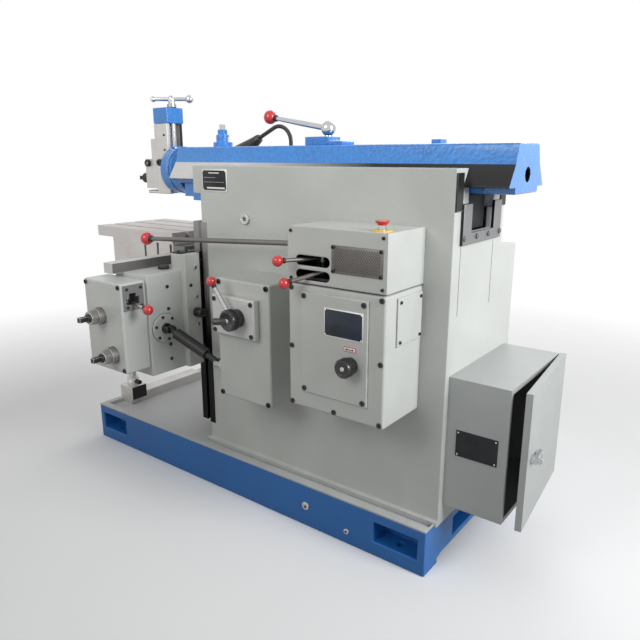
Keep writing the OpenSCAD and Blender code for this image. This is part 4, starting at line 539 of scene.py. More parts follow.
# Screws: black socket heads with a hexagon recess, turned in all round the boxes and their
# covers. Each stands where its CAD solid is, in one of three sizes.
def islands(node):
    """The corners of the box round each separate solid in a CAD node."""
    bm = bmesh.new()
    bm.from_mesh(nodes[node].data)
    bmesh.ops.remove_doubles(bm, verts=bm.verts, dist=1e-6)
    seen_verts, boxes = set(), []
    for first in bm.verts:
        if first in seen_verts:
            continue
        queue, found = [first], []
        seen_verts.add(first)
        while queue:
            vert = queue.pop()
            found.append(vert.co.copy())
            for e in vert.link_edges:
                other = e.other_vert(vert)
                if other not in seen_verts:
                    seen_verts.add(other)
                    queue.append(other)
        boxes.append((Vector(map(min, *found)), Vector(map(max, *found))))
    bm.free()
    return boxes

heads = {"small": [], "middle": [], "large": []}
for low, high in islands("case_screws"):
    size = high - low
    middle, width = (low + high) / 2, max(size)
    on_side = size.y < size.x
    facing = to_near if on_side else to_rear
    foot = (middle.x, high.y, middle.z) if on_side else (low.x, middle.y, middle.z)
    heads["small" if width < 0.012 else "middle" if width < 0.0175 else "large"].append((foot, facing))
for (kind, places), radius in zip(heads.items(), (0.005, 0.008, 0.0096)):
    if places:
        repeated("case_screws_" + kind, socket_head(radius, 0.004), places, "machine",
            black_oxide,
            stands_for=("case_screws",))

# Plates: thin printed or punched sheets, each pinned or screwed flat: a black name plate with plain
# white bars in a bright frame, a vent plate, a dark chart, an arrow plate and the stop's ring.
plate_dark = Finish("dark_plate_enamel", Specular_IOR_Level=0.25)
smear = plate_dark.noise(18.0, 5.0).between(0.3, 0.75)
tint = plate_dark.mix(smear, (0.010, 0.011, 0.013), (0.024, 0.026, 0.031))
plate_dark = plate_dark.done(tint, 0.34 + 0.2 * smear, plate_dark.noise(300.0), 0.00008)
plates = {}
for low, high in islands("info_plates"):
    middle = (low + high) / 2
    kind = ("name" if middle.x < 0 else "label" if middle.x > 0.8 else "ring" if high.y - low.y > 0.03
        else "vent" if middle.z > 0.95 else "chart" if middle.z > 0.78 else "arrow")
    plates[kind] = (low, high)

def flat_plate(kind, name, material, proud=0.0, inset=0.0, radius=0.0008):
    """A plate over its CAD sheet, drawn in by inset and standing proud of it."""
    low, high = plates[kind]
    sheet = slab((low.x + inset, low.y - proud, low.z + inset),
        (high.x - inset, high.y, high.z - inset), radius)
    piece(name, sheet, "machine", material)

bright_plate = bare_iron("bright_plate_metal", (0.68, 0.68, 0.67), 0.0006, 0.24, (1.0, 1.0, 0.1), 300.0,
    0.00005)
yellow_ring = clouded("yellow_ring_plastic", 40.0, (0.72, 0.46, 0.01), (0.86, 0.60, 0.03), 0.3, 0.2,
    depth=0.0001, detail=4.0, Coat_Weight=0.3)
stop = Vector((0.736, -0.418, 1.104))
hole = 0.0113
ring = [(0, hole), (0, 0.030), (0.0024, 0.030), (0.003, 0.029), (0.003, hole), (0, hole)]
piece("stop_ring", turned(stop, upward, ring, 56), "machine", yellow_ring, ("info_plates",))
vent_metal = bare_iron("punched_vent_steel", (0.15, 0.145, 0.14), 0.0006, 0.26, cut=30.0, depth=0.0001)
white_print = clouded("white_printed_film", 30.0, (0.78, 0.78, 0.76), (0.85, 0.85, 0.84), 0.35, 0.15)
red_print = clouded("red_printed_film", 30.0, (0.55, 0.02, 0.02), (0.65, 0.04, 0.03), 0.35, 0.15)
chart_blue = Finish("chart_film", Coat_Weight=0.2, Specular_IOR_Level=0.3, Coat_Roughness=0.04)
smear = chart_blue.noise(9.0, 5.0).between(0.3, 0.75)
tint = chart_blue.mix(smear, (0.006, 0.009, 0.010), (0.012, 0.030, 0.070))
chart_blue = chart_blue.done(tint, 0.16 + 0.15 * smear)
flat_plate("name", "name_plate_frame", bright_plate)
flat_plate("name", "name_plate", plate_dark, 0.0006, 0.004)
flat_plate("vent", "vent_plate", vent_metal)
flat_plate("chart", "chart_frame", bright_plate)
flat_plate("chart", "chart_sheet", chart_blue, 0.0006, 0.0035)
flat_plate("arrow", "arrow_plate_border", red_print)
flat_plate("arrow", "arrow_plate", white_print, 0.0004, 0.0016)
flat_plate("label", "cabinet_label", plate_dark, radius=0.0006)

low, high = plates["name"]
size = high - low
bars = [slab((low.x + size.x * u0, low.y - 0.0008, low.z + size.z * v0),
    (low.x + size.x * u1, low.y - 0.0005, low.z + size.z * v1), 0.0) for u0, u1, v0, v1 in
    ((0.28, 0.70, 0.81, 0.86), (0.08, 0.55, 0.62, 0.630), (0.08, 0.90, 0.42, 0.430), (0.20, 0.92, 0.12, 0.20))]
piece("name_plate_rules", joined(*bars), "machine", white_print)
low, high = plates["arrow"]
mid, print_y = (low + high) / 2, low.y - 0.0007
tip, barb, half, shaft_half = 0.015, 0.009, 0.0035, 0.0012
outline = [(-tip, 0), (-barb, half), (-barb, shaft_half), (barb, shaft_half), (barb, half),
    (tip, 0), (barb, -half), (barb, -shaft_half), (-barb, -shaft_half), (-barb, -half)]
bm = bmesh.new()
face = bm.faces.new([bm.verts.new((mid.x + u, print_y, mid.z + v)) for u, v in outline])
bmesh.ops.recalc_face_normals(bm, faces=bm.faces)
if face.normal.y > 0:
    face.normal_flip()
bmesh.ops.solidify(bm, geom=bm.faces[:], thickness=0.0002)
piece("arrow_print", mesh_of(bm, "arrow"), "machine", plate_dark)

low, high = plates["vent"]
columns, rows, margin = 19, 13, 0.010
wide, tall = high.x - low.x - 2 * margin, high.z - low.z - 2 * margin
pits = [((low.x + margin + wide * (i + 0.5 * (j % 2)) / (columns - 1), low.y,
    low.z + margin + tall * j / (rows - 1)), to_near) for j in range(rows) for i in range(columns - j % 2)]
pit = turned((0, 0, -0.0006), upward, [(0, 0.0026), (0.0009, 0.0022)], 8)
repeated("vent_plate_holes", pit, pits, "machine", black_oxide)

def corners(kind, inset, proud=0.0):
    """Points near the four corners of a plate."""
    low, high = plates[kind]
    return [(x, low.y - proud, z)
        for x in (low.x + inset, high.x - inset) for z in (low.z + inset, high.z - inset)]

pins = [(point, to_near) for kind, inset in (("name", 0.007), ("chart", 0.006), ("label", 0.007))
    for point in corners(kind, inset, 0.0004)]
pin = turned((0, 0, 0), upward, [(0, 0.0028), (0.0008, 0.0026), (0.0014, 0.0012), (0.0015, 0)], 14)
repeated("plate_pins", pin, pins, "machine", steel)
screws("vent_plate_screws", 0.0055, 0.003, corners("vent", 0.006), to_near)

# Electric cabinet: folded sheet steel with a powder coat, on the rear of the column. Its door
# stands a little ajar on two hinges, with a black rubber seal and a bright lock with its key.
cabinet_grey = enamel("cabinet_powder_coat", (0.42, 0.44, 0.43), 0.0025, 0.34, 0.15, (0.56, 0.57, 0.56), 0.05)
dress("cabinet", cabinet_grey)
dress("cabinet_door", cabinet_grey)
dress("door_handle", chrome)

def ajar(mesh):
    """Turns a mesh made for the closed door to where the door stands at rest."""
    hinge, degrees = Vector((1.069, 0.221, 0)), 5.0
    swing = Matrix.Rotation(math.radians(degrees), 4, "Z")
    mesh.transform(Matrix.Translation(hinge) @ swing @ Matrix.Translation(-hinge))
    return mesh

seal_rubber = clouded("seal_rubber", 60.0, (0.010, 0.010, 0.010), (0.045, 0.045, 0.044), 0.55, 0.25,
    depth=0.0003, detail=4.0)
(y0, y1), (z0, z1), wide = (-0.226, 0.206), (0.2265, 0.6505), 0.008
inner, outer = 1.0712, 1.0752
sides = [slab((inner, y, z0), (outer, y + wide, z1), 0.0015) for y in (y0, y1 - wide)]
sides += [slab((inner, y0, z), (outer, y1, z + wide), 0.0015) for z in (z0, z1 - wide)]
piece("door_seal", ajar(joined(*sides)), "door_body", seal_rubber)
lock_z = 0.4385
key = turned((1.1000, -0.185, lock_z), to_rear, [(0, 0.0035), (0.012, 0.0035)], 16)
bow = turned((1.1120, -0.187, lock_z), to_far,
    [(0, 0.010), (0.001, 0.011), (0.003, 0.011), (0.004, 0.010)], 28)
piece("lock_key", ajar(joined(key, bow)), "door_handle_body", chrome)

# Switchgear: a zinc plated panel inside the cabinet, which carries contactors, a breaker, a
# transformer and a strip of terminals, all screwed flat to it.
zinc = bare_iron("zinc_plated_sheet", (0.62, 0.60, 0.50), 0.002, 0.30, cut=30.0, depth=0.00005)
panel_x, panel_y, panel_z, panel_w, panel_h = 0.878, -0.200, 0.252, 0.380, 0.373
panel = slab((0.875, panel_y, panel_z), (panel_x, 0.180, 0.625), 0.0008)
piece("cabinet_back_plate", panel, "machine", zinc, ("cabinet_panel",))
switch_grey = clouded("switchgear_plastic", 40.0, (0.045, 0.048, 0.052), (0.075, 0.078, 0.083), 0.4, 0.2,
    depth=0.0001, Specular_IOR_Level=0.4)
beige_plastic = clouded("terminal_plastic", 40.0, (0.50, 0.49, 0.44), (0.58, 0.57, 0.52), 0.4, 0.2,
    depth=0.0001, Specular_IOR_Level=0.4)

def on_panel(share, depth0, depth1, inset=0.0, radius=0.002):
    """A block on the panel, placed by shares of the panel's width and height."""
    y, z, w, h = share
    return slab((panel_x + depth0, panel_y + panel_w * y + inset, panel_z + panel_h * z + inset),
        (panel_x + depth1, panel_y + panel_w * (y + w) - inset, panel_z + panel_h * (z + h) - inset), radius)

def switchgear(name, blocks, material):
    piece(name, joined(*blocks), "machine", material)

contactors = [(0.08, 0.62, 0.16, 0.24), (0.3, 0.62, 0.16, 0.24), (0.52, 0.62, 0.2, 0.24)]
breaker, transformer, coil = (0.1, 0.36, 0.3, 0.12), (0.5, 0.34, 0.34, 0.16), (0.58, 0.35, 0.18, 0.14)
case, breaker_case, front = 0.046, 0.052, 0.069
switchgear("contactor_bases", [on_panel(c, 0, case) for c in contactors] + [on_panel(breaker, 0, breaker_case)],
    switch_grey)
switchgear("contactor_fronts", [on_panel(c, case, front, 0.012) for c in contactors]
    + [on_panel(breaker, breaker_case, front, 0.009)], beige_plastic)
switchgear("transformer_core", [on_panel(transformer, 0, 0.060, 0.004, 0.001)], steel)
switchgear("transformer_coil", [on_panel(coil, 0.058, front, 0.0, 0.004)], bronze)
ways, strip_y, strip_w = 24, 0.08, 0.82
strip = [on_panel((strip_y + strip_w * k / ways, 0.1, strip_w / ways, 0.12), 0, 0.050, 0.0005, 0.0008)
    for k in range(ways)]
switchgear("terminal_strip", strip, beige_plastic)
posts = [((0.928, panel_y + panel_w * (strip_y + strip_w * (k + 0.5) / ways), panel_z + panel_h * z), to_rear)
    for k in range(ways) for z in (0.125, 0.195)]
posts += [((0.924, panel_y + panel_w * (c[0] + c[2] * s), panel_z + panel_h * (c[1] + t)), to_rear)
    for c in contactors for s in (0.2, 0.5, 0.8) for t in (0.014, 0.226)]
post = turned((0, 0, 0), upward, [(0, 0.003), (0.0015, 0.003), (0.002, 0.002)], 10)
repeated("terminal_screws", post, posts, "machine", steel)

# Levers: gun-metal and polished rods on pivots in the boxes and the rail, each with a red moulded
# ball on a short ferrule. The long one runs along the column to the operator's end.
gun_metal = bare_iron("gun_metal_rod", (0.17, 0.17, 0.17), 0.001, 0.24, cut=300.0, depth=0.00005)
rod_steel = bare_iron("polished_rod_steel", (0.48, 0.48, 0.49), 0.001, 0.10, cut=300.0, depth=0.00003)
red_plastic = Finish("red_gloss_plastic", Coat_Weight=0.6, Coat_Roughness=0.05)
soft = red_plastic.edges(0.002)[0]
haze = red_plastic.noise(50.0, 3.0)
tint = red_plastic.mix(haze, (0.50, 0.008, 0.012), (0.62, 0.018, 0.02))
red_plastic = red_plastic.done(tint, 0.15 + 0.15 * haze, haze, 0.00008, soft)

def dome(radius, steps=12, start=-1.0, reach=1.0):
    """The profile of a ball, or of the part of it between two shares of its radius."""
    first, last = math.asin(max(-1, start)), math.asin(min(1, reach))
    angles = [first + (last - first) * k / steps for k in range(steps + 1)]
    return [(radius * math.sin(a), radius * math.cos(a)) for a in angles]

def lever(node, root, tip, thick, thin, hub, metal):
    """A tapered rod with its hub ring, standing for a CAD lever."""
    root, tip = Vector(root), Vector(tip)
    reach, bore = (tip - root).length, 0.0053
    rod = turned(root, tip - root, [(0, thick), (reach * 0.45, thick), (reach * 0.8, thin),
        (reach, thin)], 24)
    ring = turned(root - Vector((0, 0, 0.012)), upward, [(0, bore), (0, hub - 0.001), (0.001, hub),
        (0.023, hub), (0.024, hub - 0.001), (0.024, bore), (0, bore)], 28)
    piece(node + "_rod", joined(rod, ring), body_of(node), metal, (node,))

def red_ball(node, root, tip, radius, thin):
    """A moulded ball on the end of a lever, with its ferrule."""
    root, tip = Vector(root), Vector(tip)
    back, wide = (tip - root).normalized(), thin * 1.45
    piece(node + "_ball", turned(tip, back, dome(radius, 20)), body_of(node), red_plastic)
    ferrule = turned(tip - back * radius * 1.42, back, [(0, thin * 1.1), (radius * 0.1, wide),
        (radius * 0.5, wide)], 24)
    piece(node + "_ferrule", ferrule, body_of(node), black_oxide)

gate, gate_reach, gate_fall = (-0.235, -0.570, 0.805), 0.118, math.radians(11)
gate_tip = (gate[0] + gate_reach * math.cos(gate_fall), gate[1], gate[2] - gate_reach * math.sin(gate_fall))
for node, root, tip, thick, thin, hub, ball in (
        ("clutch_lever", (0.470, -0.355, 1.039), (-0.381, -0.355, 0.991), 0.009, 0.0085, 0.0132, 0.025),
        ("shift_lever_upper", (0.520, -0.400, 1.006), (0.447, -0.525, 1.006), 0.007, 0.006, 0.011, 0.017),
        ("shift_lever_lower", (0.575, -0.400, 0.984), (0.470, -0.525, 0.942), 0.007, 0.006, 0.011, 0.017),
        ("gate_lever", gate, gate_tip, 0.006, 0.0055, 0.011, 0.0187)):
    lever(node, root, tip, thick, thin, hub, rod_steel if node == "gate_lever" else gun_metal)
    red_ball(node, root, tip, ball, thin)

# Feed knob and stroke knob: black moulded knobs with ribs round the grip, on plain stems.
# The feed knob has a nose and a polished rod with a red ball.
black_plastic = Finish("black_knob_plastic", Coat_Weight=0.3, Coat_Roughness=0.1)
soft, edge = black_plastic.edges(0.002)
haze = black_plastic.noise(60.0, 3.0)
tint = black_plastic.mix(edge * 0.5, (0.010, 0.010, 0.011), (0.05, 0.05, 0.05))
black_plastic = black_plastic.done(tint, 0.2 + 0.2 * haze, haze, 0.0001, soft)

def ribs(name, centre, radius, length, count, body):
    """Grip ribs round a knob that turns on Y, from its front face backwards."""
    rib = turned((0, 0, 0), upward, [(0, 0), (0.0015, 0.0022), (length - 0.0015, 0.0022), (length, 0)], 8)
    places = [((centre[0] + radius * math.cos(a), centre[1], centre[2] + radius * math.sin(a)), to_far)
        for a in (2 * math.pi * k / count for k in range(count))]
    repeated(name, rib, places, body, black_plastic)

def knob(name, node, x, front, back, z, radius):
    """A knob's body, dished at the front, with a bright cap in the middle."""
    length = back - front
    grip, skirt = radius * 0.93, radius * 0.86
    body = turned((x, front, z), to_far, [(0.002, radius * 0.62), (0, radius * 0.7), (0, radius * 0.84),
        (0.004, grip), (length * 0.62, grip), (length * 0.66, radius * 0.8), (length - 0.004, skirt),
        (length, skirt)], 48)
    cap = turned((x, front + 0.0005, z), to_far, [(0, 0.006), (0.003, 0.008)], 24)
    piece(name + "_cap", cap, body_of(node), steel)
    return body

stroke_x, stroke_z = 0.675, 0.717
grip = knob("stroke_knob", "stroke_knob", stroke_x, -0.519, -0.4733, stroke_z, 0.029)
stem = turned((stroke_x, -0.4735, stroke_z), to_far, [(0, 0.010), (0.0245, 0.010)], 24)
piece("stroke_knob_grip", joined(grip, stem), "stroke_knob_body", black_plastic,
    ("stroke_knob",))
ribs("stroke_knob_ribs", (stroke_x, -0.5155, stroke_z), 0.027, 0.025, 28, "stroke_knob_body")

feed_x, feed_z = 0.203, 0.780
feed_hub, feed_tip = Vector((feed_x, -0.480, feed_z)), Vector((0.127, -0.4935, 0.902))
grip = knob("feed_knob", "feed_lever", feed_x, -0.507, -0.4533, feed_z, 0.037)
stem = turned((feed_x, -0.4535, feed_z), to_far, [(0, 0.012), (0.0445, 0.012)], 24)
nose = turned(feed_hub + Vector((0, -0.012, -0.004)), (-0.78, -0.62, 0),
    [(0, 0.0125), (0.050, 0.0118), (0.056, 0.009), (0.0585, 0.004)], 28)
piece("feed_knob_grip", joined(grip, stem, nose), "feed_lever_body", black_plastic,
    ("feed_lever",))
ribs("feed_knob_ribs", (feed_x, -0.5030, feed_z), 0.0345, 0.028, 36, "feed_lever_body")
reach = (feed_tip - feed_hub).length
rod = turned(feed_hub, feed_tip - feed_hub,
    [(0, 0.0078), (reach * 0.5, 0.0078), (reach, 0.006)], 24)
piece("feed_lever_rod", rod, "feed_lever_body", rod_steel)
red_ball("feed_lever", feed_hub, feed_tip, 0.017, 0.0055)

# Emergency stop: a red moulded head that flares like a trumpet, on a bright neck that runs
# through the yellow ring into the control box.
neck = turned(stop - Vector((0, 0, 0.016)), upward, [(0, 0.011), (0.0325, 0.011)], 28)
piece("estop_neck", neck, "estop_body", chrome)
head = turned(stop + Vector((0, 0, 0.016)), upward, [(0, 0.0132), (0.003, 0.0140), (0.006, 0.0170),
    (0.0085, 0.0202), (0.0105, 0.0208), (0.0122, 0.0200), (0.0134, 0.0165), (0.0138, 0.010)], 40)
piece("estop_head", head, "estop_body", red_plastic, ("estop_button",))

# Ram: a long dovetailed casting in glossy hammered blue, sliding in the column's ways. Its flanks are scraped
# bare, bright at the front and dark towards the rear, and its end is paler.
def hammered(name, colour, radius, bare=False):
    """Hammer paint, on the ram with bare flanks between its nose and its painted end."""
    blue = Finish(name, Coat_Weight=0.7, Coat_Roughness=0.08)
    soft, edge = blue.edges(radius)
    dimples = blue.cells(95.0, "SMOOTH_F1").between(0.0, 0.8)
    cloud = blue.noise(6.0, 4.0).between(0.3, 0.7)
    tint = blue.mix(dimples, shade(colour, 0.75), shade(colour, 1.25))
    tint = blue.mix(cloud * 0.4, tint, shade(colour, 1.35))
    tint = blue.mix(edge * 0.35, tint, shade(colour, 1.8))
    rough, height = 0.22 + 0.15 * dimples, dimples + blue.noise(40.0, 3.0)
    if not bare:
        return blue.done(tint, rough, height, 0.0009, soft)
    along, up = blue.axis("X"), blue.axis("Z")
    tint = blue.mix(along.between(1.0035, 1.0045) * 0.12, tint, (0.12, 0.42, 0.85))
    height_share = (1 - up.between(1.2802, 1.2812)) * up.between(1.2163, 1.2167)
    flank = height_share * along.between(-0.4045, -0.4035) * (1 - along.between(1.0035, 1.0045))
    scraped = blue.mix(blue.noise(260.0, 3.0, (0.05, 1.0, 1.0)), (0.46, 0.46, 0.45), (0.66, 0.66, 0.65))
    # The scraped flanks turn near black towards the rear.
    scraped = blue.mix(along.between(-0.05, 0.55), scraped, (0.035, 0.035, 0.036))
    return blue.done(blue.mix(flank, tint, scraped), rough + 0.06 * flank, height * (1 - flank), 0.0009, soft,
        flank * 0.95, 0.7 - 0.7 * flank)

ram_colour = (0.016, 0.20, 0.60)
ram_blue = hammered("hammered_blue_enamel", ram_colour, 0.004)
cast("ram", hammered("ram_blue_and_bare_flanks", ram_colour, 0.004, True), 0.006, 0.08)
cast("ram_top_fittings", ram_blue, 0.003)
dress("ram_brackets", ram_blue)
dress("ram_position_shaft", steel)

# Ram lever: a chrome ball on a stem clamps the ram where its stroke lies; its slanting
# chrome rod ends in a red ball.
ram_y = -0.071
hub, tip = Vector((0.295, ram_y, 1.396)), Vector((0.027, ram_y, 1.443))
stem = turned((hub.x, ram_y, 1.3213), upward,
    [(0, 0.015), (0.036, 0.015), (0.040, 0.0125), (0.0747, 0.0125)], 32)
reach = (tip - hub).length
rod = turned(hub, tip - hub,
    [(0, 0.010), (reach * 0.4, 0.010), (reach * 0.85, 0.008), (reach, 0.008)], 28)
ball = turned(hub, upward, dome(0.026, 20))
piece("ram_lever_rod", joined(stem, ball, rod), "ram_lever_body", chrome, ("ram_lever",))
red_ball("ram_lever", hub, tip, 0.025, 0.008)

# Cross rail: a heavy casting that rides up and down the column's front, with the feed
# gearbox on its near end and two shafts with square ends for a crank.
rail = two_tone(cast("cross_rail", grey_enamel, 0.007), way_iron,
    lambda at, facing: at.z > 0.886 and facing.x > 0.9 and at.x < -0.30)
flange_y, flange_z, socket = -0.440, 0.676, 0.0215
two_tone(rail, black_oxide,
    lambda at, facing: at.x > -0.1915 and math.hypot(at.y - flange_y, at.z - flange_z) < socket)
cast("rail_gearbox", grey_enamel, 0.014, 0.06)
gate_grey = enamel("gate_plate_enamel", (0.20, 0.205, 0.20), 0.001, 0.34, 0.2)
two_tone(cast("rail_fittings", black_oxide, 0.001), gate_grey,
    lambda at, facing: at.y < -0.51 and -0.2075 < at.x < -0.2005)
for node in ("cross_feed_screw", "elevating_shaft", "elevating_screw"):
    dress(node, steel)

# Rail shafts: each has a graduated steel collar, a knurled step and a black square end for the
# crank, turned and pressed on in front of the gearbox cover.
bright_collar = bare_iron("bright_collar_steel", (0.36, 0.36, 0.36), 0.001, 0.20, cut=500.0, depth=0.00004)

def hand_end(node, x, z):
    """A collar with graduations, a knurled step and a square crank end on one shaft."""
    body, front, dial, step = body_of(node), -0.6153, 0.0322, 0.0242
    collar = turned((x, front, z), to_near, [(0, dial), (0.0255, dial), (0.0265, 0.0312), (0.0265, step),
        (0.0512, step), (0.0524, 0.023)], 64)
    piece(node + "_collar", collar, body, bright_collar)
    mark = slab((-0.00025, -0.0003, 0), (0.00025, 0.0002, 0.007), 0.0)
    long_mark = slab((-0.0003, -0.0003, 0), (0.0003, 0.0002, 0.012), 0.0)
    for name, shape, count in (("marks", mark, 60), ("long_marks", long_mark, 12)):
        places = []
        for k in range(count):
            a = 2 * math.pi * k / count
            out = Vector((math.cos(a), 0, math.sin(a)))
            turn = Matrix((out.cross(Vector(to_near)), out, Vector(to_near))).transposed().to_euler()
            places.append((Vector((x, front - 0.001, z)) + out * dial, turn))
        repeated(node + "_" + name, shape, places, body, black_oxide)
    rib = turned((0, 0, 0), upward, [(0, 0), (0.001, 0.0012), (0.022, 0.0012), (0.023, 0)], 6)
    ridges = 40
    places = [((x + step * math.cos(a), front - 0.0275, z + step * math.sin(a)), to_near)
        for a in (2 * math.pi * k / ridges for k in range(ridges))]
    repeated(node + "_knurl", rib, places, body, bright_collar)
    half = 0.0092
    end = slab((x - half, -0.7072, z - half), (x + half, -0.667, z + half), 0.0018)
    neck = turned((x, -0.673, z), to_far, [(0, 0.0152), (0.002, 0.0162), (0.008, 0.0162)], 32)
    piece(node + "_square_end", joined(end, neck), body, black_oxide)

hand_end("cross_feed_screw", -0.336, 0.738)
hand_end("elevating_shaft", -0.276, 0.599)

# Rail fittings: socket screws round the cover, the flange and the gate plate, oil cups pressed
# into the rail, a clamp bolt, a way wiper and a filler cap, all black but the cheek's screws.
def rail_part(name, mesh):
    piece(name, mesh, "rail_body", black_oxide)

cover_points = [(x, -0.615, z) for x in (-0.415, -0.220) for z in (0.548, 0.856)]
screws("rail_gearbox_screws", 0.0084, 0.0046, cover_points, to_near, "rail_body")
flange_points = [(-0.192, flange_y + 0.045 * math.cos(a), flange_z + 0.045 * math.sin(a))
    for a in (math.radians(45 + 60 * k) for k in range(6))]
screws("rail_flange_screws", 0.0055, 0.004, flange_points, to_rear, "rail_body")
# Painted shadow: a thin black ring at the foot of the flange, where it stands out from the rail.
bore, rim = 0.0540, 0.0568
rail_part("rail_flange_gasket", turned((-0.2002, flange_y, flange_z), to_rear,
    [(0, bore), (0, rim), (0.0008, rim), (0.0008, bore), (0, bore)], 64))
rail_part("rail_clamp_bolt", turned((-0.1742, -0.300, 0.714), to_rear, [(0, 0.0185), (0.034, 0.0185),
    (0.037, 0.0165), (0.037, 0.010), (0.031, 0.0095)], 32))
gate_points = [(-0.201, y, z) for y in (-0.594, -0.535) for z in (0.783, 0.849)]
screws("gate_plate_screws", 0.0053, 0.0044, gate_points, to_rear, "rail_body")
cup = turned((0, 0, 0), upward,
    [(0, 0.007), (0.003, 0.0066), (0.0042, 0.0052), (0.0034, 0.0032)], 20)
cups = [(-0.200, -0.416, z) for z in (0.548, 0.606, 0.746, 0.831)] + [(-0.174, -0.323, 0.824)]
repeated("rail_plugs", cup, [(point, to_rear) for point in cups], "rail_body", black_oxide)
cheek_points = [(-0.174, -0.297, z) for z in (0.665, 0.776, 0.890)]
screws("rail_cheek_screws", 0.0085, 0.003, cheek_points, to_rear, "rail_body", "steel")
wiper_top = 0.949
rail_part("rail_way_wiper", slab((-0.2505, -0.3445, 0.944), (-0.2045, -0.262, wiper_top), 0.001))
screws("wiper_screws", 0.0065, 0.005, [(-0.228, y, wiper_top) for y in (-0.330, -0.290)], upward, "rail_body")
rail_part("rail_filler_cap", turned((-0.268, -0.372, 0.885), upward,
    [(0, 0.020), (0.003, 0.0215), (0.011, 0.0215), (0.014, 0.019), (0.0145, 0)], 36))

# Saddle and table: the table is a milled iron box with T-slots on top and side, carried on
# the saddle and held up at its front by a rod on a guide.
dress("saddle", way_iron)
table_iron = bare_iron("rough_milled_table_iron", (0.62, 0.595, 0.58), 0.002, 0.34, (0.12, 1.0, 1.0), 120.0,
    0.0005, (0.50, 0.40, 0.36), 0.55)
dress("table", table_iron)
milled = bare_iron("milled_iron", (0.66, 0.645, 0.63), 0.0025, 0.34, (0.15, 1.0, 1.0), 160.0, 0.0003,
    metallic=0.6)
dress("support_guide", milled)
guide = nodes["support_guide"].data.vertices
foot_x = sum(v.co.x for v in guide) / len(guide)
two_tone(cast("support_foot", milled, 0.002), black_oxide,
    lambda at, facing: at.z > 0.20 and at.x - foot_x > 0.0275)

# Feed shaft: a telescopic shaft in black oxide, with two knuckles, takes the feed from the box
# on the column to the rail at any height.
dress("feed_sleeve", black_oxide)
dress("feed_shaft", black_oxide)

# Tool head: a swivel disc on the ram's nose carries the slide, its feed screw and bracket,
# and the clapper box that lets the tool lift on the back stroke.
cast("swivel_head", ram_blue, 0.003)
cast("slide_bracket", ram_blue, 0.005)
# The slide's lowest band is black; its far faces that look to the rear are black as painted shade.
two_tone(cast("tool_slide", milled, 0.002), black_oxide,
    lambda at, facing: at.z < 1.1685 or (facing.x > 0.5 and at.y > -0.052))
dress("clapper_box", milled)
dress("clapper", milled)
dress("tool_post", black_oxide)
dress("tool_feed_handle", chrome)

# Swivel graduations: thin white marks laid on the paint round the upper half of the disc's rim,
# one every five degrees.
rim_radius = 0.0961
mark = slab((-0.0004, -0.0003, -0.005), (0.0004, 0.0003, 0.005), 0.0)
places = []
for k in range(-18, 19):
    a = math.radians(90 + 5 * k)
    out, axis = Vector((0, math.cos(a), math.sin(a))), Vector(to_rear)
    turn = Matrix((axis.cross(out) * -1, out, axis)).transposed().to_euler()
    places.append((Vector((-0.468, ram_y, 1.247)) + out * rim_radius, turn))
repeated("swivel_marks", mark, places, "swivel_body", white_print)

# Feed collar: a turned steel ring on the feed screw, between the slide's bracket and the chrome
# ball handle.
screw = Vector((-0.5253, ram_y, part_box("slide_bracket")[1].z + 0.0004))
collar = turned(screw, upward,
    [(0, 0.0175), (0.002, 0.0195), (0.012, 0.0195), (0.014, 0.0175)], 48)
piece("tool_feed_collar", collar, "feed_handle_body", bright_collar)

# Clapper pin and slide clamp: black socket heads on the near side hold the clapper's pin
# and the slide, with the pin's plain nut behind.
slide_half, pin_x, pin_z = 0.042, -0.6493, 1.275
near_side = ram_y - slide_half
for name, radius, height, x, z in (("clapper_pin_head", 0.0150, 0.0125, pin_x, pin_z),
        ("slide_clamp_head", 0.0140, 0.0110, -0.5710, 1.278)):
    screws(name, radius, height, [(x, near_side, z)], to_near, "slide_body", across=0.5, sides=28)
nut = turned((pin_x, near_side + 0.084, pin_z), to_far, [(0, 0.0135), (0.0095, 0.0135), (0.011, 0.012)], 6)
piece("clapper_pin_nut", nut, "slide_body", black_oxide)
gib_points = [(-0.536, near_side, z) for z in (1.20, 1.33, 1.39)]
screws("slide_gib_screws", 0.0045, 0.003, gib_points, to_near, "slide_body")

# Work lamp: a black shade, white inside, on a flexible ribbed neck that is screwed to the
# column's far shoulder by a round foot.
lamp_black = enamel("lamp_black_enamel", (0.012, 0.012, 0.013), 0.002, 0.28, 0.2, (0.07, 0.07, 0.07))
lamp_x, lamp_y, foot_z, bend, sweep = -0.080, 0.175, 1.012, 0.065, math.radians(115)
bend_z, pitch, bend_coils = foot_z + 0.348, 0.005, 27

def on_bend(a):
    """The point of the neck's bend at an angle, and the way the neck runs there."""
    point = Vector((lamp_x - bend + bend * math.cos(a), lamp_y, bend_z + bend * math.sin(a)))
    return point, Vector((-math.sin(a), 0, math.cos(a)))

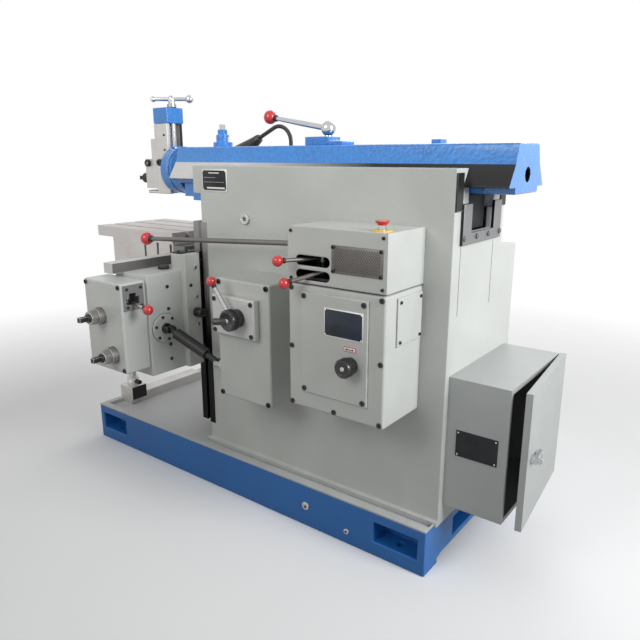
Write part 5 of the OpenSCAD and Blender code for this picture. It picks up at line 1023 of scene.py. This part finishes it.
route = [(Vector((lamp_x, lamp_y, foot_z + 0.026 + pitch * k)), Vector(upward)) for k in range(65)]
route += [on_bend(sweep * k / bend_coils) for k in range(bend_coils)]
bend_end, lead = on_bend(sweep)
route += [(bend_end + lead * pitch * k, lead) for k in range(18)]
coil = turned((0, 0, -0.0026), upward, [(0, 0.0072), (0.0012, 0.0085), (0.004, 0.0085), (0.0052, 0.0072)], 20)
repeated("lamp_neck", coil, [(tuple(p), tuple(d)) for p, d in route], "machine", lamp_black,
    stands_for=("lamp_arm",))
foot = turned((lamp_x, lamp_y, foot_z), upward, [(0, 0.032), (0.010, 0.032), (0.014, 0.030), (0.024, 0.013),
    (0.030, 0.0105), (0.034, 0.0105)], 44)
piece("lamp_foot", foot, "machine", lamp_black)
neck_end = bend_end + lead * 0.090
tilt = math.radians(-121)
aim = Vector((math.sin(tilt), 0, math.cos(tilt)))
shade_profile = [(0, 0.015), (0.004, 0.018), (0.030, 0.022), (0.110, 0.0395), (0.124, 0.0425),
    (0.129, 0.044), (0.130, 0.0432), (0.128, 0.0420), (0.122, 0.0405), (0.110, 0.0375), (0.032, 0.0195),
    (0.010, 0.0150)]
piece("lamp_shade", turned(neck_end, aim, shade_profile, 56), "machine", lamp_black,
    ("lamp_head",))
white_inside = clouded("white_shade_enamel", 20.0, (0.74, 0.74, 0.70), (0.82, 0.82, 0.79), 0.4, 0.2)
liner = [(0.0106, 0.0145), (0.032, 0.0191), (0.110, 0.0371), (0.1215, 0.0400), (0.1215, 0.0396),
    (0.110, 0.0366), (0.032, 0.0186), (0.0112, 0.0138)]
piece("lamp_liner", turned(neck_end, aim, liner, 56), "machine", white_inside)
bulb_glass = clouded("frosted_bulb_glass", 25.0, (0.80, 0.79, 0.74), (0.88, 0.87, 0.83), 0.3, 0.2,
    Specular_IOR_Level=0.6)
bulb = [(0.0114, 0.010), (0.040, 0.010), (0.052, 0.013)]
bulb += [(0.072 + d, r) for d, r in dome(0.021, 12, -0.75, 1.0)]
piece("lamp_bulb", turned(neck_end, aim, bulb, 32), "machine", bulb_glass)
